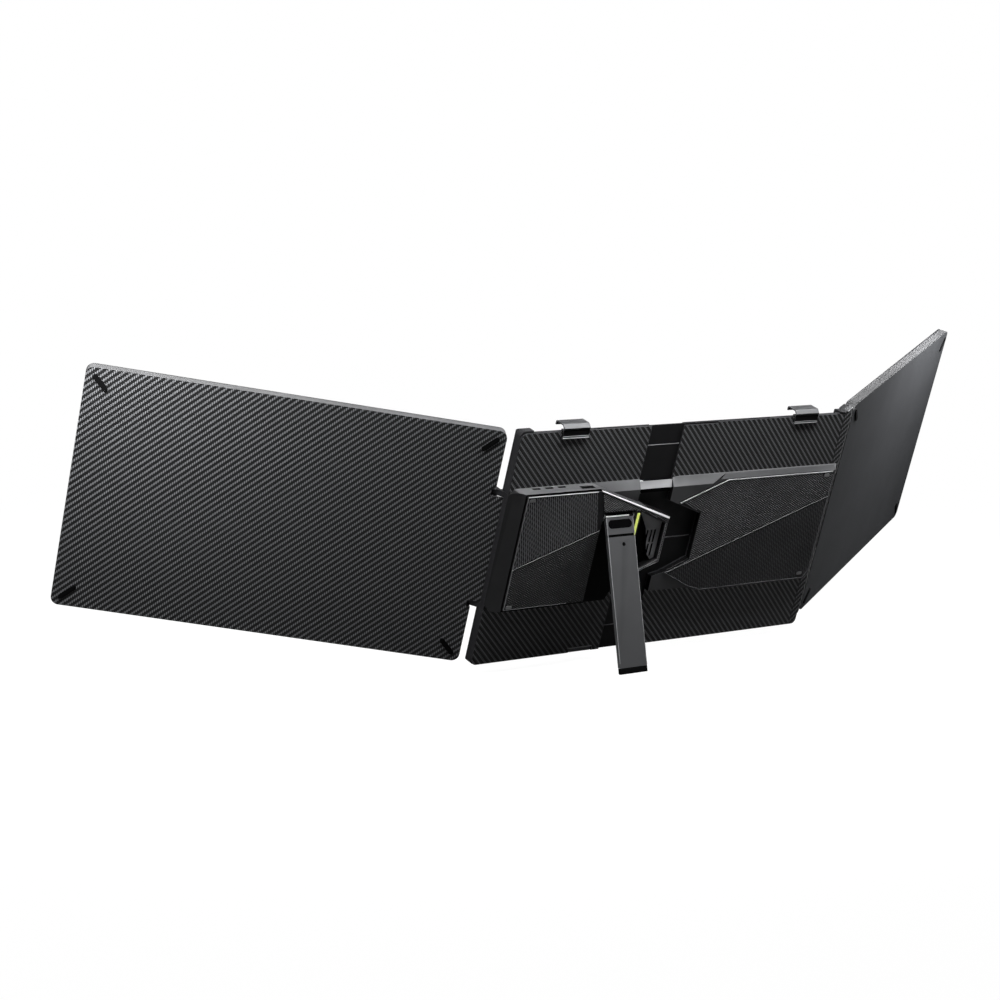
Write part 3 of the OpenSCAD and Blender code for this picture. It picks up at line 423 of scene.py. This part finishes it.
FLAT_AREA = 60 * MM * MM  # faces larger than this are shaded flat
SHARP = math.radians(32.0)  # edges steeper than this stay sharp
ROUNDED = math.radians(28.0)  # CAD edges steeper than this are rounded
SAME_PLANE = math.radians(0.4)  # faces closer than this are joined first
WELD = 2e-6


def finish_mesh(obj):
    """Smooth shading up to SHARP, flat on large faces, weighted normals."""
    obj.data.shade_smooth()
    obj.data.set_sharp_from_angle(angle=SHARP)
    for face in obj.data.polygons:
        face.use_smooth = face.area < FLAT_AREA
    weighted = obj.modifiers.new("weighted", "WEIGHTED_NORMAL")
    weighted.keep_sharp = True


def add_piece(name, mesh, body):
    obj = bpy.data.objects.new(name, mesh)
    bpy.context.scene.collection.objects.link(obj)
    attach(obj, body)
    return obj


def refine(node, width, segments=2, faces=None, cut=None):
    """A copy of a CAD node with rounded edges. faces maps a finish to a test on a face.

    cut is an X in the node's CAD frame, at which faces are split first.
    """
    mesh = NODES[node].data.copy()
    mesh.name = f"{node}_fine"
    bm = bmesh.new()
    bm.from_mesh(mesh)
    bmesh.ops.remove_doubles(bm, verts=bm.verts, dist=WELD)
    bmesh.ops.dissolve_limit(bm, angle_limit=SAME_PLANE, verts=bm.verts, edges=bm.edges)
    edges = [e for e in bm.edges if len(e.link_faces) == 2 and e.calc_face_angle() > ROUNDED]
    bmesh.ops.bevel(bm, geom=edges, offset=width * MM, offset_type="OFFSET", segments=segments,
                    profile=0.5, affect="EDGES", clamp_overlap=True, loop_slide=True)
    local = place_of(node)
    if cut is not None:
        m = TO_WORLD[local]
        geometry = bm.verts[:] + bm.edges[:] + bm.faces[:]
        bmesh.ops.bisect_plane(bm, geom=geometry, dist=1e-7, plane_co=m @ Vector((cut, 0, 0)),
                               plane_no=m.to_3x3() @ Vector((1, 0, 0)))
    bm.normal_update()
    if faces:
        turn = TO_LOCAL[local].to_3x3()
        for i, (kind, test) in enumerate(faces.items()):
            mesh.materials.append(material(kind, local))
            for f in bm.faces:
                if test((turn @ f.normal).normalized(), TO_LOCAL[local] @ f.calc_center_median()):
                    f.material_index = i + 1
    bm.to_mesh(mesh)
    bm.free()
    obj = add_piece(f"{node}_fine", mesh, BODY_OF[node])
    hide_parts(node)
    finish_mesh(obj)
    return obj


STAND_AXIS, STAND_OPEN = Vector((-78.5, -11.4, 142.0)), math.radians(28)
GROOVE_AT, HOLE_AT = 18.2, 26.2  # distance down the leg from its axis
NOSE_SPLIT = -46.0  # X from which the nose's top face gets painted shade

# Tests on a face: n is its normal and c its centre, both in the node's CAD frame.
STEEP = 0.985  # a back face's normal points at least this much along -Y


def back(n, c):
    return n.y < -STEEP


def not_back(n, c):
    return n.y >= -STEEP


# Chamfers along the housings' tops, which get a painted highlight.
def chamfer(n, c):
    return -0.95 < n.y < -0.75 and n.z > 0.3


def socket_face(n, c):
    """Top face of the controller's housing, where the sockets are."""
    return n.z > 0.9 and n.x < 0.1 and c.x < -100 and c.z > 160


# Undersides, which get painted shade.
def underside(n, c):
    return n.z < -0.3


# The nose's top face right of NOSE_SPLIT, which gets painted shade.
def nose_top(n, c):
    return n.x > 0.2 and n.z > 0.8 and c.x > NOSE_SPLIT


# The recess floor, which gets painted light.
def recess_floor(n, c):
    return back(n, c) and -10.7 < c.y < -10.5 and -62 < c.x < -20


def pocket(n, c):
    """Walls and floors of the trench and the recess, and the floor round the mesh cover: faces that
    get painted shade.
    """
    if back(n, c):
        inner = -2.5 < c.y < -1.2 and -100 < c.x < -15
        return -13.5 < c.y < -13.3 or -10.5 < c.y < -10.3 or -8 < c.y < -6.5 or inner
    if -40 < c.x < -26 and 100 < c.z < 131:
        return abs(n.y) < 0.97
    return abs(n.y) < 0.3 and -100 < c.x < -20 and 60 < c.z < 146


# The controller's outer left wall, which gets painted shade.
def outer_wall(n, c):
    return n.x < -0.4 and c.x < -180


def notch(n, c):
    """Walls of the driver housing that face the centre, which get painted shade."""
    return n.x < -0.15 and n.y > -0.5 and c.x < 100


def everywhere(n, c):
    return True


# The clip's sloped top, which gets a painted highlight.
def clip_slope(n, c):
    return n.y < -0.4 and n.z > 0.4


# The clip's skirt under the slope, which gets painted shade.
def clip_skirt(n, c):
    return n.y < -0.9


def down_leg(c):
    d = c - STAND_AXIS
    return -d.y * math.sin(STAND_OPEN) - d.z * math.cos(STAND_OPEN)


# The leg's side bevels, which get a painted highlight.
def leg_edge(n, c):
    return 0.25 < abs(n.x) < 0.97 and n.y < 0.1


def leg_cut(n, c):
    """Inside of the leg's groove and of its small hole, which get painted shade."""
    at = down_leg(c)
    return abs(at - GROOVE_AT) < 1.3 or (abs(at - HOLE_AT) < 2.2 and abs(c.x - STAND_AXIS.x - 2) < 2.2)


for node in ("left_wing_cover", "link_cover"):
    refine(node, 0.8, 3, faces={"rim_plastic": not_back})
refine("right_wing_cover", 0.8, 3, faces={"rim_dark": not_back})
for node in ("left_wing_bezel", "right_wing_bezel", "link_front"):
    refine(node, 0.4, 2)
for node in ("left_back_plate", "right_back_plate"):
    refine(node, 0.3, 2, faces={"frame_plastic": not_back})
refine("right_side_rail", 0.35, 2, faces={"carbon_turned": back})
for node in ("left_side_rail", "centre_tray"):
    refine(node, 0.35, 2)
refine("driver_housing", 0.35, 2, faces={"chamfer_painted_highlight": chamfer, "painted_shade_plastic": notch})
refine("driver_mesh_cover", 0.3, 2, faces={"painted_shade_plastic": notch})
refine("controller_housing", 0.35, 2, cut=NOSE_SPLIT,
       faces={"chamfer_dim_painted_highlight": chamfer, "wall_painted_shade": outer_wall, "rim_plastic": socket_face,
              "recess_painted_light": recess_floor,
              "painted_shade_plastic": lambda n, c: pocket(n, c) or nose_top(n, c)})
refine("stand_surround", 0.3, 2, faces={"painted_shade_plastic": pocket})
refine("controller_mesh_cover", 0.3, 2)
refine("cable_duct", 0.3, 2, faces={"painted_shade_plastic": underside})
for node in ("left_top_clip", "right_top_clip"):
    refine(node, 0.3, 3, faces={"clip_painted_highlight": clip_slope, "painted_shade_plastic": clip_skirt})
refine("stand_leg", 0.7, 2, faces={"edge_painted_highlight": leg_edge, "painted_shade_plastic": leg_cut})
# The barrel sits in the trench's shade, so all of it gets painted shade.
refine("stand_barrel", 0.2, 2, faces={"painted_shade_plastic": everywhere})
for node in ("stand_foot", "left_hinge_bracket", "right_hinge_bracket", "lower_lid_hook"):
    refine(node, 0.35, 2)
for node in ("left_wing_feet", "right_wing_feet", "controller_corner_caps", "driver_corner_caps",
             "stand_badge", "left_lid_pads", "right_lid_pads", "accent_strip"):
    refine(node, 0.2, 2)
# The sockets get painted shade.
for node in ("usb_c_sockets", "hdmi_socket"):
    NODES[node].data.materials[0] = material("socket_painted_shade")

# ---- Raised texture of the mesh covers ----------------------------------------------------------


SINK = 0.05  # how far raised texture starts inside its carrier
TAPER = 0.6  # a stud's top against its foot
MARGIN, CAP_MARGIN = 0.9, 0.8


def depth_inside(outline, x, z):
    """Distance from a point to the outline's edge, negative outside."""
    best, inside = 1e9, False
    for (ax, az), (bx, bz) in zip(outline, outline[1:] + outline[:1]):
        dx, dz = bx - ax, bz - az
        t = max(0.0, min(1.0, ((x - ax) * dx + (z - az) * dz) / (dx * dx + dz * dz)))
        best = min(best, math.hypot(x - ax - t * dx, z - az - t * dz))
        if (az > z) != (bz > z) and x < (bx - ax) * (z - az) / (bz - az) + ax:
            inside = not inside
    return best if inside else -best


def is_clear(outline, keep_out, x, z):
    """Whether a point is well inside the outline and well outside each area kept clear."""
    return depth_inside(outline, x, z) > MARGIN and all(
        depth_inside(k, x, z) < -CAP_MARGIN for k in keep_out)


def studs(bm, outline, y, pitch, size, height, keep_out=()):
    """Small six-sided studs on a staggered grid inside an outline in X and Z."""
    xs, zs = [p[0] for p in outline], [p[1] for p in outline]
    ring = [(math.cos(k * math.pi / 3), math.sin(k * math.pi / 3)) for k in range(6)]
    column, x = 0, min(xs)
    while x < max(xs):
        z = min(zs) + (pitch[1] / 2 if column % 2 else 0.0)
        while z < max(zs):
            if is_clear(outline, keep_out, x, z):
                low, top = (
                    [bm.verts.new((x + a * size[0] * k, y + d, z + b * size[1] * k)) for a, b in ring]
                    for k, d in ((1.0, SINK), (TAPER, -height))
                )
                bm.faces.new(low[::-1])
                bm.faces.new(top)
                for k in range(6):
                    n = (k + 1) % 6
                    bm.faces.new((low[k], low[n], top[n], top[k]))
            z += pitch[1]
        x += pitch[0]
        column += 1


RIB_STEP, RIB_LEAN, RIB_WAVE = 0.8, 0.25, 0.3


def ribs(bm, outline, y, pitch, width, height, keep_out=()):
    """Wavy threads that run down and to the right inside an outline in X and Z."""
    xs, zs = [p[0] for p in outline], [p[1] for p in outline]
    low, high = min(zs), max(zs)
    x0 = min(xs) - (high - low) * RIB_LEAN
    while x0 < max(xs) + 1:
        run, z = [], high
        while z > low - RIB_STEP:
            swing = RIB_WAVE * math.sin(z * 1.25 + x0 * 0.9)
            x = x0 + (high - z) * RIB_LEAN + swing
            clear = is_clear(outline, keep_out, x, z)
            if clear:
                run.append((x, z))
            if (not clear or z - RIB_STEP <= low - RIB_STEP) and run:
                if len(run) > 2:
                    thread(bm, run, y, width, height)
                run = []
            z -= RIB_STEP
        x0 += pitch


def skin(bm, rows):
    """Closed skin over rows of matching points, with a face at each end."""
    size = len(rows[0])
    for a, b in zip(rows, rows[1:]):
        for k in range(size):
            n = (k + 1) % size
            bm.faces.new((a[k], a[n], b[n], b[k]))
    bm.faces.new(rows[0][::-1])
    bm.faces.new(rows[-1])


def thread(bm, run, y, width, height):
    """Low ridge along a run of points in X and Z, with a flat top and sloped sides."""
    rows = []
    for i, (x, z) in enumerate(run):
        before, after = run[max(i - 1, 0)], run[min(i + 1, len(run) - 1)]
        a, b = heading(before, (x, z)), heading((x, z), after)
        a, b = (a if any(a) else b), (b if any(b) else a)
        scale = 1 / max(0.3, 1 + a[0] * b[0] + a[1] * b[1])
        nx, nz = -(a[1] + b[1]) * scale, (a[0] + b[0]) * scale
        rows.append([bm.verts.new((x + k * nx, y + d, z + k * nz))
                     for k, d in ((-width / 2, SINK), (-width / 5, -height), (width / 5, -height),
                                  (width / 2, SINK))])
    skin(bm, rows)


def heading(a, b):
    dx, dz = b[0] - a[0], b[1] - a[1]
    size = math.hypot(dx, dz)
    return (dx / size, dz / size) if size > 1e-9 else (0.0, 0.0)


def ridge(bm, a, b, y, width, height):
    """Straight thin ridge between two points in X and Z."""
    thread(bm, [(a[0] + (b[0] - a[0]) * i / 24, a[1] + (b[1] - a[1]) * i / 24) for i in range(25)],
           y, width, height)


def texture_piece(name, carrier, build, kind="mesh_painted_light", place=Matrix.Identity(4)):
    """New piece that rides on its carrier's body; build fills the mesh, in mm, in the panel frame."""
    bm = bmesh.new()
    build(bm)
    bmesh.ops.recalc_face_normals(bm, faces=bm.faces)
    bm.transform(TO_WORLD["panel"] @ place)
    mesh = bpy.data.meshes.new(name)
    bm.to_mesh(mesh)
    bm.free()
    mesh.materials.append(material(kind))
    obj = add_piece(name, mesh, BODY_OF[carrier])
    mesh.shade_smooth()
    mesh.set_sharp_from_angle(angle=math.radians(30))
    return obj


def patch(x, z, w, h):
    """Outline of a rectangle round a corner cap, given its centre and half sizes."""
    return [(x - w, z - h), (x + w, z - h), (x + w, z + h), (x - w, z + h)]


# Outlines on the two mesh covers, as X and Z in the panel frame, and the covers' Y.
CONTROL_Y, DRIVER_Y = -14.6, -5.7
CONTROL_CREASE = ((-188.2, 98.5), (-98.5, 129.5))
CONTROL_UPPER = [(-188.2, 98.5), (-98.5, 129.5), (-109.5, 168.2), (-188.2, 168.2)]
CONTROL_LOWER = [(-188.2, 59.8), (-97.6, 59.8), (-97.6, 126.0), (-98.5, 129.5), (-188.2, 98.5)]
CONTROL_CAPS = [patch(-183, 166, 3.6, 1.7), patch(-183, 62.5, 3.6, 1.7)]
DRIVER_CREASE = ((2.0, 74.6), (189.8, 138.7))
DRIVER_UPPER = [(2.0, 74.6), (190.5, 138.9), (190.5, 162.5), (188, 165), (54, 165), (-0.5, 145.2),
                (28, 133.6), (28, 86.4)]
DRIVER_LOWER = [(2.0, 74.6), (34.5, 58.3), (51, 53), (185, 53), (190.5, 61.5), (190.5, 138.9)]
DRIVER_CAPS = [patch(179.3, 162.8, 3.6, 1.7), patch(179.6, 57.6, 3.6, 1.7)]
SURROUND = [(-62.7, 77), (-40, 83.5), (-17.5, 92), (-17.5, 136), (-105, 168.5), (-94.2, 134)]
SURROUND_HOLES = [
    [(-97, 50), (-60, 50), (-60, 146.5), (-97, 146.5)],
    [(-53, 83.6), (-38, 88), (-21, 95), (-21, 131.4), (-53, 145)],
    [(-57.8, 122), (-53.2, 122), (-53.2, 144.5), (-57.8, 144.5)],
]


# Ribs: pitch, width and height. Studs: pitch and half size in X and Z, and height.
GAUZE_RIBS = (2.3, 1.0, 0.22)
GAUZE_STUDS = ((1.9, 1.95), (0.85, 0.5), 0.22)
CREASE_SIZE = (0.65, 0.3)


def control_ribs(bm):
    ribs(bm, CONTROL_UPPER, CONTROL_Y, *GAUZE_RIBS, keep_out=CONTROL_CAPS)
    ridge(bm, *CONTROL_CREASE, CONTROL_Y, *CREASE_SIZE)


def control_studs(bm):
    studs(bm, CONTROL_LOWER, CONTROL_Y, *GAUZE_STUDS, CONTROL_CAPS)


def driver_studs(bm):
    studs(bm, DRIVER_UPPER, DRIVER_Y, *GAUZE_STUDS, DRIVER_CAPS)
    ridge(bm, *DRIVER_CREASE, DRIVER_Y, *CREASE_SIZE)


def driver_ribs(bm):
    ribs(bm, DRIVER_LOWER, DRIVER_Y, *GAUZE_RIBS, keep_out=DRIVER_CAPS)


CONTROL_SIDE, CONTROL_TOP = [(-187.6, 60.4), (-187.6, 167.0)], [(-187.6, 167.6), (-110.0, 167.6)]
CONTROL_LOW = [(-187.0, 60.2), (-118.0, 60.2)]
DRIVER_TOP = [(0.6, 144.9), (54.1, 164.4), (187.8, 164.4)]
DRIVER_SIDE = [(189.9, 162.2), (189.9, 61.7), (184.7, 53.6), (51.1, 53.6), (34.7, 58.9), (2.4, 75.2)]
NOSE_EDGE = ((-105.0, 168.6), (-17.2, 136.6))
TRAY_Y = 1.7
SEAM_PROFILE = ((0.03, -0.5), (0.48, 0.2), (0.5, -0.5))
TRAY_SEAMS = ((23.5, -51.0, -12.0), (108.0, -20.0, 28.5), (202.0, -51.0, -12.0))
SURROUND_LINES = [
    [(-18.1, 135.5), (-18.1, 92.5), (-62.0, 77.8)],
    [(-20.4, 131.6), (-20.4, 94.6), (-38.0, 87.4), (-53.0, 83.0)],
]
STRIP_RIBS, STRIP_Y = ((-96.6, 126.0), (-108.4, 168.0)), -13.4
HOOK_LIP = ((-89.3, 4.4), (-60.5, 4.4))
CLIP_X, CLIP_HALF, CLIP_LIP = 138.5, 14.4, (-0.9, 216.4)


def nose_highlight(bm):
    """Sloped edge along the top of the nose, near white as a painted highlight."""
    (ax, az), (bx, bz) = NOSE_EDGE
    ux, uz = heading(*NOSE_EDGE)
    rows = []
    for i in range(13):
        x, z = ax + (bx - ax) * i / 12, az + (bz - az) * i / 12
        low = -0.8 - 1.3 * i / 12
        rows.append([bm.verts.new((x - uz * k, y, z + ux * k))
                     for k, y in ((low, -14.55), (low * 0.7, -15.0), (0.15, -14.4), (0.15, -13.6))])
    skin(bm, rows)


def seam_lips(bm):
    """Lower lips of the tray's seams, sloped upwards inside the grooves, coloured light as a painted
    highlight.
    """
    for z, left, right in TRAY_SEAMS:
        rows = [[bm.verts.new((x, TRAY_Y + y, z + dz)) for y, dz in SEAM_PROFILE]
                for x in (left, right)]
        skin(bm, rows)


# The leg's own frame: X across it, Z up it from the hinge line, Y into its back face.
LEG_PLACE = Matrix.Translation(STAND_AXIS) @ Matrix.Rotation(-STAND_OPEN, 4, "X")
LEG_FACE, LEG_HALF, LEG_TOP, LEG_END = -3.0, 15.8, -2.3, -131.0


def leg_highlight_lines(bm):
    """Light lines down both sides of the leg's back face, a painted highlight."""
    for x, width in ((0.5 - LEG_HALF, 0.8), (LEG_HALF - 0.4, 0.5)):
        ridge(bm, (x, LEG_TOP), (x, LEG_END), LEG_FACE, width, 0.12)


def surround_lines(bm):
    """Fine raised lines round the recess in the stand's surround, coloured light as a painted
    highlight.
    """
    for run in SURROUND_LINES:
        for a, b in zip(run, run[1:]):
            ridge(bm, a, b, CONTROL_Y, 0.42, 0.15)


def strip_ribs(bm):
    """Ribs in the narrow channel between the controller's mesh cover and the surround."""
    (ax, az), (bx, bz) = STRIP_RIBS
    for i in range(4):
        low = az + (bz - az) * 1.3 * i / (ax - bx)  # above the leg's trench
        ridge(bm, (ax, low), (bx + 1.3 * i, bz), STRIP_Y, 0.6, 0.9)


def rim_piece(name, run, y, size, kind):
    """Raised edge line on a mesh cover; size is its width and height."""
    cover = name.split("_")[0] + "_mesh_cover"
    texture_piece(name, cover, lambda bm: thread(bm, run, y, *size), kind)


# Raised rims round the mesh covers: the top rims get a near white painted highlight, the controller's
# side rim a dimmer painted highlight.
rim_piece("controller_side_rim", CONTROL_SIDE, CONTROL_Y, (0.8, 0.3), "line_painted_highlight")
rim_piece("controller_top_rim", CONTROL_TOP, CONTROL_Y, (1.2, 0.4), "rim_painted_highlight")
rim_piece("controller_low_rim", CONTROL_LOW, CONTROL_Y, (0.6, 0.3), "mesh_stud")
# The channel's ribs get painted shade.
texture_piece("controller_strip_ribs", "controller_housing", strip_ribs, "mesh_painted_shade")
rim_piece("driver_top_rim", DRIVER_TOP, DRIVER_Y, (1.2, 0.4), "rim_painted_highlight")
rim_piece("driver_side_rim", DRIVER_SIDE, DRIVER_Y, (0.6, 0.3), "mesh_stud")
for side, carrier in ((-1, "left_top_clip"), (1, "right_top_clip")):
    lip_y, lip_z = CLIP_LIP
    ends = [(side * CLIP_X + end * CLIP_HALF, lip_z) for end in (-1, 1)]
    texture_piece(f"{carrier}_lip", carrier, lambda bm: ridge(bm, *ends, lip_y, 1.2, 0.4), "rim_dark")
# The hook's lip gets a painted highlight.
texture_piece("lower_hook_lip", "lower_lid_hook",
              lambda bm: ridge(bm, *HOOK_LIP, 0.0, 1.3, 0.25), "line_painted_highlight")
texture_piece("nose_highlight", "stand_surround", nose_highlight, "trim_painted_highlight")
texture_piece("seam_lips", "centre_tray", seam_lips, "line_painted_highlight")
texture_piece("surround_lines", "stand_surround", surround_lines, "line_painted_highlight")
texture_piece("leg_edge_highlights", "stand_leg", leg_highlight_lines, "rim_painted_highlight", LEG_PLACE)
# Bar over the leg's top, near white as a painted highlight.
texture_piece("barrel_highlight", "stand_barrel",
              lambda bm: ridge(bm, (-15.6, -1.0), (10.9, -1.0), -2.8, 1.5, 0.5),
              "trim_painted_highlight", LEG_PLACE)
# The controller's upper ribs get painted light, its lower studs painted shade.
texture_piece("controller_mesh_ribs", "controller_mesh_cover", control_ribs)
texture_piece("controller_mesh_studs", "controller_mesh_cover", control_studs, "mesh_painted_shade")
texture_piece("driver_mesh_studs", "driver_mesh_cover", driver_studs, "mesh_stud")
# The driver's lower ribs get painted shade.
texture_piece("driver_mesh_ribs", "driver_mesh_cover", driver_ribs, "mesh_painted_shade")
# The surround's studs get painted light.
texture_piece("surround_texture", "stand_surround",
              lambda bm: studs(bm, SURROUND, CONTROL_Y, (1.5, 1.55), (0.6, 0.4), 0.15, SURROUND_HOLES))

# ---- Floor, lights and camera ------------------------------------------------------------------


FLOOR_LIFT = 0.945  # what the camera's view of the floor is raised by, to reach white
FLOOR_FADE = (0.75, 1.5)  # distance from the middle over which the floor turns plain white
FLOOR_DROP = 0.0004  # clearance under the foot
WORLD_DIM = 0.10  # strength of the world's light on the object


def floor_material():
    """Pale floor that turns into the plain white background away from the object."""
    net = Net("floor")
    at = net.add("ShaderNodeTexCoord").outputs["Object"]
    tint = net.noise(at, 0.8, 3.0)
    net.finish(net.mix(tint, (0.1, 0.1, 0.1), (0.092, 0.092, 0.092)), 0.9, Specular_IOR_Level=0.05)
    length = net.add("ShaderNodeVectorMath", operation="LENGTH")
    net.link(at, length.inputs[0])
    far = net.remap(length.outputs["Value"], *FLOOR_FADE, 0.0, 1.0)
    rays = net.add("ShaderNodeLightPath")
    seen = net.math("MAXIMUM", rays.outputs["Is Camera Ray"], rays.outputs["Is Transmission Ray"])
    white, lift = net.add("ShaderNodeEmission"), net.add("ShaderNodeEmission")
    white.inputs["Strength"].default_value = 1.0
    lift.inputs["Strength"].default_value = FLOOR_LIFT
    near = net.add("ShaderNodeAddShader")
    fade, chosen = net.add("ShaderNodeMixShader"), net.add("ShaderNodeMixShader")
    net.link(net.bsdf.outputs[0], near.inputs[0])
    net.link(lift.outputs[0], near.inputs[1])
    net.link(far, fade.inputs[0])
    net.link(near.outputs[0], fade.inputs[1])
    net.link(white.outputs[0], fade.inputs[2])
    net.link(seen, chosen.inputs[0])
    net.link(net.bsdf.outputs[0], chosen.inputs[1])
    net.link(fade.outputs[0], chosen.inputs[2])
    net.link(chosen.outputs[0], net.out.inputs[0])
    return net.mat


def floor():
    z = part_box("stand_foot")[0].z - FLOOR_DROP
    bm = bmesh.new()
    bmesh.ops.create_grid(bm, x_segments=8, y_segments=8, size=14.0)
    mesh = bpy.data.meshes.new("floor")
    bm.to_mesh(mesh)
    bm.free()
    obj = bpy.data.objects.new("floor", mesh)
    bpy.context.scene.collection.objects.link(obj)
    obj.location.z = z
    mesh.materials.append(floor_material())


def area_light(name, place, target, size, energy):
    data = bpy.data.lights.new(name, "AREA")
    data.shape = "RECTANGLE"
    data.size, data.size_y = size
    data.energy = energy
    data.spread = math.pi
    obj = bpy.data.objects.new(name, data)
    bpy.context.scene.collection.objects.link(obj)
    obj.location = place
    obj.visible_camera = False
    obj.rotation_euler = (Vector(target) - Vector(place)).to_track_quat("-Z", "Y").to_euler()


def world():
    """Weak even light; plain white to the camera."""
    sky = bpy.data.worlds.new("studio")
    bpy.context.scene.world = sky
    sky.use_nodes = True
    tree = sky.node_tree
    tree.nodes.clear()
    out = tree.nodes.new("ShaderNodeOutputWorld")
    dim, white = tree.nodes.new("ShaderNodeBackground"), tree.nodes.new("ShaderNodeBackground")
    dim.inputs[0].default_value = (1, 1, 1, 1)
    dim.inputs[1].default_value = WORLD_DIM
    white.inputs[0].default_value = (1, 1, 1, 1)
    white.inputs[1].default_value = 1.0
    rays = tree.nodes.new("ShaderNodeLightPath")
    seen = tree.nodes.new("ShaderNodeMath")
    seen.operation = "MAXIMUM"
    tree.links.new(rays.outputs["Is Camera Ray"], seen.inputs[0])
    tree.links.new(rays.outputs["Is Transmission Ray"], seen.inputs[1])
    mixed = tree.nodes.new("ShaderNodeMixShader")
    tree.links.new(seen.outputs[0], mixed.inputs[0])
    tree.links.new(dim.outputs[0], mixed.inputs[1])
    tree.links.new(white.outputs[0], mixed.inputs[2])
    tree.links.new(mixed.outputs[0], out.inputs[0])


SENSOR, PICTURE_PX, FOCAL_PX = 36.0, 1000.0, 2581.51  # mm, pixels, pixels


def camera():
    """Pinhole solved from the object's straight edges, in the panel frame."""
    right = Vector((0.78864607, -0.58043088, 0.20282349))
    down = Vector((-0.06566735, -0.40750401, -0.91083933))
    ahead = Vector((0.61133066, 0.70501098, -0.35949179))
    place = Vector((-1555.04, -1555.37, 953.67))
    turn = Matrix((right, -down, -ahead)).transposed().to_4x4()
    data = bpy.data.cameras.new("camera")
    data.sensor_width = SENSOR
    data.lens = FOCAL_PX * SENSOR / PICTURE_PX
    data.clip_start, data.clip_end = 0.1, 100.0
    obj = bpy.data.objects.new("camera", data)
    bpy.context.scene.collection.objects.link(obj)
    obj.rotation_mode = "QUATERNION"
    obj.location = STANCE @ place
    obj.rotation_quaternion = (Matrix.Rotation(LEAN, 4, "X") @ turn).to_quaternion()
    bpy.context.scene.camera = obj


floor()
world()
area_light("overhead", (-0.1, -0.3, 2.6), (0, 0, 0), (2.6, 2.0), 30.0)
area_light("left_key", (-0.60, 0.0, 0.25), (-0.47, 0.14, 0.12), (0.12, 0.12), 2.2)
area_light("back_strip", (0.0, -0.19, 0.35), (0.0, 0.0, 0.08), (0.72, 0.06), 4.5)
area_light("right_key", (0.52, 0.0, 0.25), (0.44, 0.11, 0.10), (0.14, 0.14), 2.9)
area_light("front", (0.8, 2.4, 1.4), (0, 0, 0), (1.6, 1.2), 16.0)
camera()
bpy.context.scene.view_settings.view_transform = "Standard"
